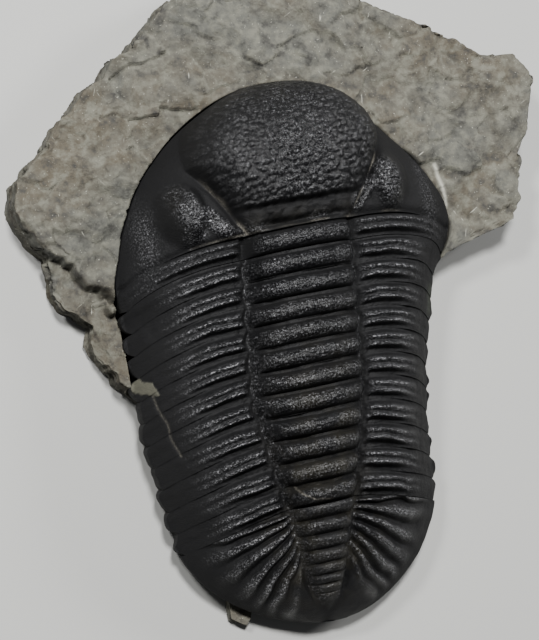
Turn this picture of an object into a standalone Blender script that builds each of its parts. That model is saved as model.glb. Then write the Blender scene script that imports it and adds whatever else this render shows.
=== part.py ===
"""A large phacopid trilobite on the piece of grey limestone that it was freed from.

The fossil's sclerites are separate solids: the head shield, eleven thoracic segments and the
tail shield, bedded in a stone that surrounds the head and runs on, thinner, under the rear.

Body coordinates: x across, y towards the head, z up from the stone's underside, with the animal
straight and even. settle() then gives the lean and the bend that burial has left it. The whole
part stands on its underside, with its origin at the middle of its bounding box, on the ground.
"""
import math

import bmesh
import bpy
import numpy
from mathutils import Vector, noise

MM = 0.001
THIN = 0.1 * MM                  # the least that a width or a height is taken as

# Plan of the animal
HEAD_Y = 18 * MM                 # where the head shield is widest
HEAD_LENGTH = 43 * MM            # from there to its front
HEAD_HALF_WIDTH = 44.6 * MM
HEAD_RUN_POWER = 1.5             # how full the head's rounded front is
NECK_Y = 6 * MM                  # behind the head's corners the body is narrower
NECK_HALF_WIDTH = 41.3 * MM
TAIL_Y = -46 * MM                # where the tail shield begins
TAIL_LENGTH = 30 * MM
TAIL_HALF_WIDTH = 35.2 * MM
TAIL_RUN_POWER = 1.8
END_WIDTH_POWER = 0.55
SEGMENT_COUNT = 11
SEGMENT_PITCH = 5.7 * MM
FIRST_SEGMENT_Y = 14.5 * MM
AXIS_HALF_WIDTH = 14.2 * MM
AXIS_TAPER_Y = -18 * MM          # the axial lobe narrows behind this line
AXIS_TAPER = 0.2
SWEEP = 6.5 * MM                 # how far the segments' tips trail behind the axis
SWEEP_BEND = 2.5                 # how late the foremost segments turn back
SWEEP_EASING = 0.12              # how much sooner each following segment does

# Heights of the animal
CREST_HEIGHT = 44 * MM
LOBE_RISE = 8 * MM               # of the axial lobe above its furrows
REAR_FALL = 27.6 * MM            # how far the crest has come down at the tail's end
MARGIN_HEIGHT = 15 * MM
MARGIN_SLOPE = 0.08              # the margin climbs towards the head
FLANK_CURVE = 2.3
LOBE_CURVE = 2.4

# Rings and ribs of the segments, measured along each from 0 at its rear to 1 at its front
RING_DEPTH = 1.8 * MM
RING_CREST = 0.45
RIB_DEPTH = 1.3 * MM
RIB_FADE = 0.7                   # how much shallower the ribs are at the margin
BAND_SHARPNESS = 2.5
PLEURAL_FURROW_DEPTH = 0.4       # as a share of the rib's depth
PLEURAL_FURROW_HALF_WIDTH = 0.3
TIP_ROUNDING = 0.9 * MM
TIP_REACH = 6                    # how close to the margin the rounding begins

# Glabella, the swollen middle of the head
GLABELLA_REAR_Y = 23.5 * MM
GLABELLA_PEAK_Y = 40 * MM
GLABELLA_HEIGHT = 45.5 * MM
GLABELLA_REAR_FALL = 5.5 * MM
GLABELLA_FRONT_HEIGHT = 20 * MM
GLABELLA_REAR_HALF_WIDTH = 13.5 * MM
GLABELLA_FLARE = 0.62
GLABELLA_WIDEST_Y = 44 * MM
GLABELLA_WIDEST = 25 * MM
GLABELLA_FRONT_Y = 61 * MM
GLABELLA_CURVE = 3.2              # a flat top
GLABELLA_EDGE = 1.2               # that rounds into the furrow beside it
TUBERCLE_HEIGHT = 1 * MM

# Eyes
EYE_X = {-1: 28.6 * MM, 1: 25.4 * MM}  # the left eye and the right one
EYE_Y = 30.3 * MM
EYE_HALF_WIDTH = 6.2 * MM
EYE_HALF_LENGTH = 9.5 * MM
EYE_HEIGHT = 38 * MM
EYE_STEEPNESS = 5

# Tail ribs and rings
TAIL_FIRST_FURROW_Y = TAIL_Y + 0.8 * MM
TAIL_RIB_COUNT = 6
TAIL_RIB_DEPTH = 1.8 * MM
TAIL_RIB_REACH = 0.85            # of the way to the margin
TAIL_RIB_FIRST_ANGLE = math.radians(13)
TAIL_RIB_SPREAD = math.radians(11.5)
TAIL_RING_DEPTH = 1.9 * MM
TAIL_RING_PITCH = 4.2 * MM
TAIL_RING_CROWDING = 14          # per metre: rings grow closer towards the tip
TAIL_RING_COUNT = 8

# What burial has done to it
SHEAR = 0.119
REAR_BEND = 5.6 * MM
REAR_BEND_Y = -15 * MM
BODY_END_Y = TAIL_Y - TAIL_LENGTH
MARGIN_SHIFT = [(-76, 3.0), (-68, 1.8), (-60, 1.3), (-48, 1.0), (-38, 0), (-28, -0.8), (-16, -1.1),
                (4, -0.1), (14, 1.2), (24, 1.6), (34, 0), (42, -1.7), (50, -2.2), (60, -2.4)]

# Fit of the pieces
GAP = 0.34 * MM
POCKET_GAP = 0.45 * MM
SIDE_TRIM = 0.995                # the shields' outermost columns stop short of a knife edge
BED_HEIGHT = 3 * MM              # the sclerites' flat undersides
REAR_INSET = 4.2 * MM            # the stone stays inside the rear margin

# Grids of the sclerites
AXIAL_COLUMN_SHARE = 0.4
SEGMENT_GRID = (20, 6)
HEAD_GRID = (40, 28)
HEAD_BORDER_ROWS = 4             # the occipital ring and the rear border
HEAD_BORDER_LIMIT = 0.45         # of the head's length there, towards its corners
HEAD_ROW_SPACING = 1.1
TAIL_GRID = (24, 20)

# Stone
STONE_TOP = 16 * MM
STONE_TOP_SLOPE = 0.045
STONE_CELL = 6 * MM
STONE_CUTS = range(-12, 16)
STONE_CUT_SKEW = 0.15
STONE_BEDS = (5 * MM, 10.5 * MM)
STONE_RELIEF = 2.2 * MM
STONE_RELIEF_SIZE = 9 * MM
STONE_EDGE_RELIEF = 1.3 * MM
STONE_EDGE_SIZE = 4 * MM
STONE_EDGE_LEAN = 0.3            # how upright a face is before it counts as an edge
BENCH_DROP = 6.5 * MM
LEDGE_START = Vector((-66 * MM, 31.5 * MM))
LEDGE_END = Vector((-44 * MM, 9.5 * MM))
LEDGE_RUN = 2 * MM
STONE_LEFT = [(-41, -13), (-45.5, -7), (-49, -3), (-48.5, 3.5), (-55.5, 8.5), (-58, 13), (-58.5, 21.5),
              (-63, 25.5), (-67, 34), (-66, 40), (-61.5, 45), (-57.5, 48.5), (-53, 55.5), (-46.5, 61.5),
              (-42, 65), (-38.5, 70), (-34.5, 72), (-28.5, 78.5), (-22.5, 84.5), (-13, 90)]
STONE_RIGHT = [(2, 91.5), (14, 87.5), (24, 83), (37.5, 77), (48.5, 71.5), (54, 68), (60, 66), (67.5, 66.5),
               (72, 60), (70.5, 53), (69, 45), (65, 33.5), (66, 28), (64, 23.5), (57.5, 20.5), (47, 17)]
STONE_FLANK_START_Y = 6 * MM     # where the stone's right edge goes in under the animal
STONE_FLANK_END_Y = -16 * MM     # where its left edge comes out again
MARGIN_STEPS = 28

SMOOTH_ANGLE = math.radians(40)
FOSSIL_COLOUR = (0.012, 0.012, 0.013, 1)
FOSSIL_ROUGHNESS = 0.4
STONE_COLOUR = (0.25, 0.24, 0.21, 1)
STONE_ROUGHNESS = 0.85


def limit(value):
    """Value held between 0 and 1."""
    return min(max(value, 0), 1)


def round_off(run, power):
    """How wide the rounded end of a shield still is, run of the way from its widest line to its end."""
    return (1 - limit(run) ** power) ** END_WIDTH_POWER


def half_width(y):
    """Half the width of the animal's margin at y."""
    if y > HEAD_Y:
        return HEAD_HALF_WIDTH * round_off((y - HEAD_Y) / HEAD_LENGTH, HEAD_RUN_POWER)
    if y < TAIL_Y:
        return TAIL_HALF_WIDTH * round_off((TAIL_Y - y) / TAIL_LENGTH, TAIL_RUN_POWER)
    share = (y - TAIL_Y) / (NECK_Y - TAIL_Y)
    trunk = TAIL_HALF_WIDTH + (NECK_HALF_WIDTH - TAIL_HALF_WIDTH) * share
    corner = limit((y - NECK_Y) / (HEAD_Y - NECK_Y))
    return trunk + (HEAD_HALF_WIDTH - trunk) * corner ** 2 * (3 - 2 * corner)


def end_run(x, widest, power):
    """The inverse of round_off: how far from the widest line the margin stands at x."""
    return (1 - limit(abs(x) / widest) ** (1 / END_WIDTH_POWER)) ** (1 / power)


def margin_height(y):
    """Height of the animal's margin at y."""
    return MARGIN_HEIGHT + MARGIN_SLOPE * y


def axis_half_width(y):
    """Half the width of the axial lobe at y."""
    if y > HEAD_Y:
        return AXIS_HALF_WIDTH * half_width(y) / HEAD_HALF_WIDTH
    return AXIS_HALF_WIDTH - AXIS_TAPER * max(0, AXIS_TAPER_Y - y)


def lobe_rise(y):
    """How far the axial lobe stands above its furrows at y."""
    return LOBE_RISE * axis_half_width(y) / AXIS_HALF_WIDTH


def crest_height(y):
    """Top of the axial lobe, which comes down towards the tail."""
    run = max(0, AXIS_TAPER_Y - y) / (AXIS_TAPER_Y - BODY_END_Y)
    return CREST_HEIGHT - REAR_FALL * run ** 2


def furrow_height(y):
    """Height of the furrows beside the axial lobe, rounded down to the margin at both ends."""
    margin = margin_height(y)
    full = crest_height(y) - lobe_rise(y)
    head_run = limit((y - HEAD_Y) / HEAD_LENGTH)
    tail_run = limit((TAIL_Y - y) / TAIL_LENGTH)
    return margin + (full - margin) * math.sqrt((1 - head_run ** 3) * (1 - tail_run ** 6))


def flank_share(x, y):
    """0 at the axial furrow and within it, 1 at the margin."""
    axis = axis_half_width(y)
    return limit((abs(x) - axis) / max(half_width(y) - axis, THIN))


def flank_height(x, y):
    """The even form of the body without its axial lobe."""
    margin = margin_height(y)
    return margin + (furrow_height(y) - margin) * (1 - flank_share(x, y) ** FLANK_CURVE)


def lobe_height(x, y):
    """What the axial lobe adds."""
    share = limit(abs(x) / max(axis_half_width(y), THIN))
    return lobe_rise(y) * (1 - share ** LOBE_CURVE)


def swept_y(line_y, share):
    """Where a line across the body, at line_y on the axis, has swept back to on the flank."""
    lines_behind = (FIRST_SEGMENT_Y - line_y) / SEGMENT_PITCH
    return line_y - SWEEP * share ** (SWEEP_BEND - SWEEP_EASING * lines_behind)


def edge_y(x, line_y):
    """The same line's y at a given x, found in a few steps."""
    y = line_y
    for _ in range(4):
        y = swept_y(line_y, flank_share(x, y))
    return y


def settle(x, y, z):
    """A body point as it lies in the stone, its flanks pushed to one side more than its middle."""
    bend = max(0, (REAR_BEND_Y - y) / (REAR_BEND_Y - BODY_END_Y))
    lines, shifts = zip(*MARGIN_SHIFT)
    shift = float(numpy.interp(y / MM, lines, shifts)) * MM
    shift *= limit(abs(x) / max(half_width(y), THIN)) ** 2
    return Vector((x + shift + REAR_BEND * bend ** 2, y + SHEAR * x, z))


def band_relief(along, share, axial):
    """Ring or double rib of one segment; along runs 0 to 1 from its rear edge to its front edge."""
    if axial:
        return -RING_DEPTH * abs(2 * (along - RING_CREST)) ** BAND_SHARPNESS
    off_middle = abs(2 * along - 1)
    furrow = PLEURAL_FURROW_DEPTH * limit(1 - off_middle / PLEURAL_FURROW_HALF_WIDTH)
    return -RIB_DEPTH * (off_middle ** BAND_SHARPNESS + furrow) * (1 - RIB_FADE * share)


def sclerite(name, grid, place):
    """A closed solid whose top is a grid mapped by place(u, v), on a flat underside."""
    bm = bmesh.new()
    bmesh.ops.create_grid(bm, x_segments=grid[0], y_segments=grid[1], size=0.5)
    for vert in bm.verts:
        vert.co = settle(*place(vert.co.x + 0.5, vert.co.y + 0.5))
    rim = [edge for edge in bm.edges if edge.is_boundary]
    skirt = bmesh.ops.extrude_edge_only(bm, edges=rim)["geom"]
    for vert in (item for item in skirt if isinstance(item, bmesh.types.BMVert)):
        vert.co.z = BED_HEIGHT
    foot = [item for item in skirt if isinstance(item, bmesh.types.BMEdge)]
    bmesh.ops.contextual_create(bm, geom=foot)
    return add_node(name, bm, finished("fossil", FOSSIL_COLOUR, FOSSIL_ROUGHNESS))


def add_node(name, bm, material):
    """Turn bm into a named object whose origin is the middle of its underside."""
    bmesh.ops.recalc_face_normals(bm, faces=bm.faces)
    middle = sum((vert.co for vert in bm.verts), Vector()) / len(bm.verts)
    middle.z = min(vert.co.z for vert in bm.verts)
    bmesh.ops.translate(bm, verts=bm.verts, vec=-middle)
    mesh = bpy.data.meshes.new(name)
    bm.to_mesh(mesh)
    bm.free()
    mesh.shade_smooth()
    mesh.set_sharp_from_angle(angle=SMOOTH_ANGLE)
    mesh.materials.append(material)
    node = bpy.data.objects.new(name, mesh)
    node.location = middle
    bpy.context.scene.collection.objects.link(node)
    return node


def finished(name, colour, roughness):
    """The material of that name, made the first time it is asked for."""
    material = bpy.data.materials.get(name)
    if material is None:
        material = bpy.data.materials.new(name)
        material.use_nodes = True
        shader = material.node_tree.nodes["Principled BSDF"]
        shader.inputs["Base Color"].default_value = colour
        shader.inputs["Roughness"].default_value = roughness
        shader.inputs["Metallic"].default_value = 0
    return material


def across(u):
    """(side, axial) at u of the way across: side runs -1 to 1 over the axial lobe, or over both flanks."""
    side = 2 * u - 1
    if abs(side) <= AXIAL_COLUMN_SHARE:
        return side / AXIAL_COLUMN_SHARE, True
    share = (abs(side) - AXIAL_COLUMN_SHARE) / (1 - AXIAL_COLUMN_SHARE)
    return math.copysign(share, side), False


def segment(number):
    """One thoracic segment: an axial ring between two pleurae with rounded tips."""
    middle_y = FIRST_SEGMENT_Y - SEGMENT_PITCH * (number - 1)

    def place(u, v):
        line_y = middle_y + (v - 0.5) * (SEGMENT_PITCH - GAP)
        side, axial = across(u)
        share = 0 if axial else abs(side)
        y = swept_y(line_y, share)
        axis = axis_half_width(y)
        if axial:
            x = side * axis
        else:
            tip = TIP_ROUNDING * (2 * v - 1) ** 2 * share ** TIP_REACH
            x = math.copysign(axis + (half_width(y) - tip - axis) * share, side)
        z = flank_height(x, y) + lobe_height(x, y) + band_relief(v, share, axial)
        return x, y, max(z, BED_HEIGHT + GAP)

    return sclerite(f"thoracic_segment_{number:02d}", SEGMENT_GRID, place)


def glabella_half_width(y):
    """Half the width of the glabella, which flares forwards and is round in front."""
    flare = GLABELLA_REAR_HALF_WIDTH + GLABELLA_FLARE * (y - GLABELLA_REAR_Y)
    run = limit((y - GLABELLA_WIDEST_Y) / (GLABELLA_FRONT_Y - GLABELLA_WIDEST_Y))
    return min(flare, GLABELLA_WIDEST * math.sqrt(1 - run ** 2))


def glabella_crest(y):
    """Height of the glabella along its middle."""
    if y < GLABELLA_PEAK_Y:
        run = (GLABELLA_PEAK_Y - y) / (GLABELLA_PEAK_Y - GLABELLA_REAR_Y)
        return GLABELLA_HEIGHT - GLABELLA_REAR_FALL * run ** 2
    run = limit((y - GLABELLA_PEAK_Y) / (HEAD_Y + HEAD_LENGTH - GLABELLA_PEAK_Y))
    fall = GLABELLA_HEIGHT - GLABELLA_FRONT_HEIGHT
    return GLABELLA_FRONT_HEIGHT + fall * math.sqrt(1 - run ** 2)


def head_height(x, y, knob):
    """Cheeks, eyes and glabella; knob is True where a tubercle stands."""
    z = flank_height(x, y)
    eye_x = EYE_X[1 if x > 0 else -1]
    eye = math.hypot((abs(x) - eye_x) / EYE_HALF_WIDTH, (y - EYE_Y) / EYE_HALF_LENGTH)
    if eye < 1:
        z += max(0, EYE_HEIGHT - z) * (1 - eye ** EYE_STEEPNESS)
    width = max(glabella_half_width(y), THIN)
    if abs(x) < width and y > GLABELLA_REAR_Y:
        swell = (1 - (abs(x) / width) ** GLABELLA_CURVE) ** GLABELLA_EDGE
        z += (glabella_crest(y) - z) * swell + knob * TUBERCLE_HEIGHT * swell
    return z


def drawn_in(x, y):
    """x of a head column at y, where the head's rear corners narrow."""
    narrowing = 1 - half_width(min(y, HEAD_Y)) / HEAD_HALF_WIDTH
    return x * (1 - narrowing * (x / HEAD_HALF_WIDTH) ** 4)


def head_shield():
    """Cephalon: the occipital ring and rear border are its first rows, like one more segment."""
    columns, rows = HEAD_GRID
    rear_line = FIRST_SEGMENT_Y + (SEGMENT_PITCH + GAP) / 2

    def place(u, v):
        side = 2 * u - 1
        x = HEAD_HALF_WIDTH * SIDE_TRIM * (side + math.sin(math.pi / 2 * side)) / 2
        row = round(v * rows)
        rear = edge_y(x, rear_line)
        front = HEAD_Y + HEAD_LENGTH * end_run(x, HEAD_HALF_WIDTH, HEAD_RUN_POWER)
        border = min(SEGMENT_PITCH - GAP, HEAD_BORDER_LIMIT * (front - rear))
        if row <= HEAD_BORDER_ROWS:
            along = row / HEAD_BORDER_ROWS
            y = rear + border * along
            x = drawn_in(x, y)
            relief = band_relief(along, flank_share(x, rear), abs(x) < axis_half_width(y))
            return x, y, flank_height(x, y) + lobe_height(x, y) + relief
        along = (row - HEAD_BORDER_ROWS) / (rows - HEAD_BORDER_ROWS)
        spaced = math.sin(math.pi / 2 * along) ** HEAD_ROW_SPACING
        y = rear + border + (front - rear - border) * spaced
        x = drawn_in(x, y)
        knob = row % 2 == 0 and (row // 2 + round(u * columns)) % 2 == 0
        return x, y, max(head_height(x, y, knob), margin_height(y))

    return sclerite("cephalon", HEAD_GRID, place)


def tail_relief(x, y):
    """Rings on the axis and ribs that fan out beside it, dying out before the margin."""
    behind = TAIL_FIRST_FURROW_Y - y
    if abs(x) < axis_half_width(y):
        ring = behind / TAIL_RING_PITCH * (1 + TAIL_RING_CROWDING * behind)
        if ring > TAIL_RING_COUNT:
            return 0
        depth = TAIL_RING_DEPTH * limit(2 * axis_half_width(y) / AXIS_HALF_WIDTH)
        return -depth * (1 + math.cos(2 * math.pi * ring)) / 2
    rib = (math.atan2(behind, abs(x)) - TAIL_RIB_FIRST_ANGLE) / TAIL_RIB_SPREAD
    if rib > TAIL_RIB_COUNT:
        return 0
    fade = math.sqrt(limit(1 - flank_share(x, y) / TAIL_RIB_REACH))
    return -TAIL_RIB_DEPTH * fade * (1 + math.cos(2 * math.pi * rib)) / 2


def tail_shield():
    """Pygidium: its front edge follows the last segment."""
    front_line = FIRST_SEGMENT_Y - SEGMENT_PITCH * (SEGMENT_COUNT - 0.5) - GAP / 2
    widest = half_width(swept_y(front_line, 1)) * SIDE_TRIM

    def place(u, v):
        x = widest * math.sin(math.pi * (u - 0.5))
        front = edge_y(x, front_line)
        rear = TAIL_Y - TAIL_LENGTH * end_run(x, TAIL_HALF_WIDTH, TAIL_RUN_POWER)
        y = rear + (front - rear) * v
        z = flank_height(x, y) + lobe_height(x, y) + tail_relief(x, y)
        return x, y, max(z, margin_height(y) - RIB_DEPTH)

    return sclerite("pygidium", TAIL_GRID, place)


def side_points(side, first_y, last_y, offset, steps):
    """Points along one flank's margin, moved outwards by offset."""
    points = []
    for step in range(steps + 1):
        y = first_y + (last_y - first_y) * step / steps
        placed = settle(side * (half_width(y) + offset), y, 0)
        points.append((placed.x, placed.y))
    return points


def end_points(end, offset, steps):
    """Points round the head (end 1), left to right, or the tail (end -1), right to left."""
    widest_y, length, half, power = {1: (HEAD_Y, HEAD_LENGTH, HEAD_HALF_WIDTH, HEAD_RUN_POWER),
                                     -1: (TAIL_Y, TAIL_LENGTH, TAIL_HALF_WIDTH, TAIL_RUN_POWER)}[end]
    points = []
    for step in range(1, steps):
        x = -end * half * math.cos(math.pi * step / steps)
        run = end_run(x, half, power)
        sideways = (abs(x) / half) ** (1 / END_WIDTH_POWER - 1) / half / END_WIDTH_POWER
        outward = Vector((math.copysign(sideways, x), end * power * run ** (power - 1) / length))
        outward.normalize()
        placed = settle(x + outward.x * offset, widest_y + end * length * run + outward.y * offset, 0)
        points.append((placed.x, placed.y))
    return points


def prism(points, bottom, top):
    """An upright closed block over an outline."""
    bm = bmesh.new()
    face = bm.faces.new([bm.verts.new((x, y, bottom)) for x, y in points])
    raised = bmesh.ops.extrude_face_region(bm, geom=[face], use_keep_orig=True)["geom"]
    lifted = [item for item in raised if isinstance(item, bmesh.types.BMVert)]
    bmesh.ops.translate(bm, verts=lifted, vec=(0, 0, top - bottom))
    bmesh.ops.recalc_face_normals(bm, faces=bm.faces)
    return bm


def cut(bm, point, normal):
    """Divide the block's faces along a plane."""
    geometry = list(bm.verts) + list(bm.edges) + list(bm.faces)
    bmesh.ops.bisect_plane(bm, geom=geometry, plane_co=point, plane_no=normal, dist=THIN / 2)


def ledge_outward():
    """Direction, square to the ledge, in which the stone steps down to the bench."""
    along = (LEDGE_END - LEDGE_START).normalized()
    return Vector((along.y, -along.x))


def bench_share(x, y):
    """0 on the upper slab, 1 on the lower bench at the left."""
    return limit((Vector((x, y)) - LEDGE_START).dot(ledge_outward()) / LEDGE_RUN)


def roughen(bm):
    """Break the block's faces: rolling top with a bench, uneven beds at the edges, flat underside."""
    for vert in bm.verts:
        x, y, z = vert.co
        if z < THIN:
            continue
        outward = vert.normal.xy
        top = STONE_TOP + STONE_TOP_SLOPE * y - BENCH_DROP * bench_share(x, y)
        top += STONE_RELIEF * noise.noise(Vector((x, y, 0)) / STONE_RELIEF_SIZE)
        vert.co.z = top * z / STONE_TOP
        if outward.length > STONE_EDGE_LEAN:
            push = noise.noise(Vector((x, y, z)) / STONE_EDGE_SIZE) * outward.normalized()
            vert.co.x += STONE_EDGE_RELIEF * push.x
            vert.co.y += STONE_EDGE_RELIEF * push.y


def pocket_cutter():
    """The space in the stone that the sclerites lie in, a little wider than they are."""
    outline = end_points(1, POCKET_GAP, MARGIN_STEPS)
    outline += side_points(1, HEAD_Y, TAIL_Y, POCKET_GAP, MARGIN_STEPS)
    outline += end_points(-1, POCKET_GAP, MARGIN_STEPS)
    outline += side_points(-1, TAIL_Y, HEAD_Y, POCKET_GAP, MARGIN_STEPS)
    bm = prism(outline, BED_HEIGHT - GAP, 2 * CREST_HEIGHT)
    mesh = bpy.data.meshes.new("pocket")
    bm.to_mesh(mesh)
    bm.free()
    cutter = bpy.data.objects.new("pocket_cutter", mesh)
    cutter.hide_render = True
    cutter.display_type = "WIRE"
    bpy.context.scene.collection.objects.link(cutter)
    return cutter


def stone():
    """The limestone: a thick slab round the head that runs on under the rear, and its cutter."""
    outline = [(x * MM, y * MM) for x, y in STONE_LEFT + STONE_RIGHT]
    outline += side_points(1, STONE_FLANK_START_Y, TAIL_Y, -REAR_INSET, 6)
    outline += end_points(-1, -REAR_INSET, 16)
    outline += side_points(-1, TAIL_Y, STONE_FLANK_END_Y, -REAR_INSET, 4)
    bm = prism(outline, 0, STONE_TOP)
    for height in STONE_BEDS:
        cut(bm, (0, 0, height), (0, 0, 1))
    for step in STONE_CUTS:
        cut(bm, (step * STONE_CELL, 0, 0), (1, STONE_CUT_SKEW, 0))
        cut(bm, (0, step * STONE_CELL, 0), (-STONE_CUT_SKEW, 1, 0))
    outward = ledge_outward()
    for shift in (0, LEDGE_RUN):
        start = LEDGE_START + outward * shift
        cut(bm, (start.x, start.y, 0), (outward.x, outward.y, 0))
    bm.normal_update()
    roughen(bm)
    flat = [vert for vert in bm.verts if vert.co.z < THIN]
    flat_edges = [edge for edge in bm.edges if all(vert in flat for vert in edge.verts)]
    bmesh.ops.dissolve_limit(bm, angle_limit=0.01, verts=flat, edges=flat_edges)
    node = add_node("matrix", bm, finished("limestone", STONE_COLOUR, STONE_ROUGHNESS))
    cutter = pocket_cutter()
    pocket = node.modifiers.new("pocket", "BOOLEAN")
    pocket.operation = "DIFFERENCE"
    pocket.solver = "EXACT"
    pocket.object = cutter
    return node, cutter


def main():
    """Build every node and set the whole part down with its middle over the origin."""
    for leftover in list(bpy.data.objects):
        bpy.data.objects.remove(leftover, do_unlink=True)
    nodes = [head_shield()]
    nodes += [segment(number) for number in range(1, SEGMENT_COUNT + 1)]
    nodes.append(tail_shield())
    nodes += stone()
    corners = [node.location + vert.co for node in nodes[:-1] for vert in node.data.vertices]
    low = Vector([min(corner[axis] for corner in corners) for axis in range(3)])
    high = Vector([max(corner[axis] for corner in corners) for axis in range(3)])
    frame = bpy.data.objects.new("ground_middle", None)
    frame.location = (-(low.x + high.x) / 2, -(low.y + high.y) / 2, -low.z)
    bpy.context.scene.collection.objects.link(frame)
    for node in nodes:
        node.parent = frame


main()
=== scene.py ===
"""A large phacopid trilobite on its limestone, dressed for the photograph's view.

Body coordinates are millimetres: x across, y towards the head, z up from the stone's underside,
with the animal straight and even. BodyPlan.settled gives the lean and the bend of burial and the
place in the frame. Every plate of the shell is a grid laid over that form.
"""
import logging
import math
from collections.abc import Sequence
from dataclasses import dataclass
from enum import Enum
from itertools import product

import bmesh
import bpy
import numpy as np
from mathutils import Matrix, Vector, noise


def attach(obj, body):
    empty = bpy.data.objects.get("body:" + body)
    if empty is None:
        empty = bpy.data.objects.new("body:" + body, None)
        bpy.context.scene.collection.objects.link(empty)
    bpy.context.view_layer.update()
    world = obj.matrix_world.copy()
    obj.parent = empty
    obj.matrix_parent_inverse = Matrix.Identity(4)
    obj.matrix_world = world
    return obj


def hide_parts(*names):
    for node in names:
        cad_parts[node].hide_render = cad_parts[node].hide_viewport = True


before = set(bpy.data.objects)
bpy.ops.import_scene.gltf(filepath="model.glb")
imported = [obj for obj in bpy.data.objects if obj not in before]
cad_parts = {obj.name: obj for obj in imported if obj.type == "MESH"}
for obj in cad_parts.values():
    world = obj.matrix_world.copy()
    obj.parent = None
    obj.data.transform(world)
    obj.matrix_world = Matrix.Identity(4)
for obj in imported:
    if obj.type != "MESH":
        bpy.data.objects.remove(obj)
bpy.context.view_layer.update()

Array = np.ndarray
Hex = str
Line = tuple[tuple[float, float], ...]
Span = tuple[float, ...]
MM = 0.001
LOG = logging.getLogger("trilobite")

HASH_FACTORS = (374761393, 668265263, 1274126177, 974634777)
HASH_SHIFTS = (13, 16)
WORD = 0xFFFFFFFF
OCTAVE_STEP = 2.03
OCTAVE_FADE = 0.55
KNOB_JITTER = 0.7
KNOB_WIDTHS = (0.72, 0.28)
KNOB_HEIGHTS = (0.6, 0.4)
FACE_TILT = 1.2
FACE_EDGE = 0.18
FAR = 1e9


# Numbers and patterns

def limit(value: Array | float) -> Array:
    """Value held between 0 and 1."""
    return np.clip(value, 0.0, 1.0)


def ease(value: Array | float, start: float, end: float) -> Array:
    """Smooth step from 0 at start to 1 at end, which may be the smaller of the two."""
    share = limit((value - start) / (end - start))
    return share * share * (3 - 2 * share)


def bump(value: Array, middle: Array | float, width: float) -> Array:
    """A bell of height 1 round a middle value."""
    return np.exp(-(((value - middle) / width) ** 2))


def mix(first: Array | float, second: Array | float, share: Array | float) -> Array:
    """Blend of two values."""
    return first + (second - first) * share


def spots(x: Array, y: Array, z: Array | float = 0.0) -> Array:
    """Positions as one row of three for each point."""
    return np.stack([x, y, z + 0 * x], 1)


def scatter(cells: Array, seed: int) -> Array:
    """A repeatable random number for each whole-numbered cell.

    Args:
        cells: Whole numbers, one row of three for each cell.
        seed: Which of many unlike series to draw.

    Returns:
        One number from 0 to 1 for each row.
    """
    x, y, z = np.moveaxis(cells.astype(np.int64), -1, 0)
    by_x, by_y, by_z, by_seed = HASH_FACTORS
    first_shift, last_shift = HASH_SHIFTS
    mixed = (x * by_x + y * by_y + z * by_z + seed * by_seed) & WORD
    mixed = ((mixed ^ (mixed >> first_shift)) * by_z) & WORD
    return (mixed ^ (mixed >> last_shift)) / WORD


def cloud(points: Array, size: float, seed: int, octaves: int = 1) -> Array:
    """Rolling noise.

    Args:
        points: Positions, one row of three for each.
        size: Width of the largest lumps.
        seed: Which of many unlike series to draw.
        octaves: How many times finer lumps are laid over it.

    Returns:
        Heights from about -1 to 1.
    """
    total = np.zeros(len(points))
    for octave in range(octaves):
        placed = points * (OCTAVE_STEP ** octave / size)
        base = np.floor(placed)
        part = placed - base
        part = part * part * (3 - 2 * part)
        layer = np.zeros(len(points))
        for corner in product((0, 1), repeat=3):
            step = np.array(corner)
            weight = np.prod(np.where(step == 1, part, 1 - part), axis=1)
            layer += weight * scatter(base + step, seed + octave)
        total += (2 * layer - 1) * OCTAVE_FADE ** octave
    return total


def knobs(x: Array, y: Array, pitch: float, seed: int, fullness: float) -> Array:
    """Round knobs packed side by side without a pattern.

    Args:
        x: Positions across.
        y: Positions along.
        pitch: Mean distance between two knobs.
        seed: Which of many unlike series to draw.
        fullness: Radius of the largest knob, as a share of the pitch.

    Returns:
        Heights from 0 between the knobs to 1 on the tallest.
    """
    row = np.floor(y / pitch)
    best = np.zeros(len(x))
    for step_x, step_y in product((-1, 0, 1), repeat=2):
        cell_y = row + step_y
        shifted = x / pitch + 0.5 * (cell_y % 2)
        cell = np.stack([np.floor(shifted) + step_x, cell_y, np.zeros(len(x))], 1)
        middle_x = cell[:, 0] + 0.5 + KNOB_JITTER * (scatter(cell, seed) - 0.5)
        middle_y = cell_y + 0.5 + KNOB_JITTER * (scatter(cell, seed + 1) - 0.5)
        size = scatter(cell, seed + 2)
        radius = fullness * (KNOB_WIDTHS[0] + KNOB_WIDTHS[1] * size)
        gone = ((shifted - middle_x) ** 2 + (y / pitch - middle_y) ** 2) / radius ** 2
        best = np.maximum(best, np.sqrt(limit(1 - gone)) * (KNOB_HEIGHTS[0] + KNOB_HEIGHTS[1] * size))
    return best


def facets(points: Array, size: float, seed: int) -> tuple[Array, Array]:
    """Flat broken faces that meet at sharp edges.

    Args:
        points: Positions, one row of three for each.
        size: Mean width of a face.
        seed: Which of many unlike series to draw.

    Returns:
        Heights from about -1 to 1, and how near each point is to a face's edge, 0 to 1.
    """
    placed = points / size
    base = np.floor(placed)
    nearest = np.full(len(points), FAR)
    second = np.full(len(points), FAR)
    height = np.zeros(len(points))
    for corner in product((-1, 0, 1), repeat=3):
        cell = base + np.array(corner)
        draws = [scatter(cell, seed + number) for number in range(6)]
        offset = placed - cell - np.stack(draws[:3], 1)
        distance = np.linalg.norm(offset, axis=1)
        tilt = FACE_TILT * (offset[:, 0] * (draws[3] - 0.5) + offset[:, 1] * (draws[4] - 0.5))
        closer = distance < nearest
        second = np.where(closer, nearest, np.minimum(second, distance))
        height = np.where(closer, draws[5] - 0.5 + tilt, height)
        nearest = np.where(closer, distance, nearest)
    return 2 * height, limit(1 - (second - nearest) / FACE_EDGE)


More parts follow.
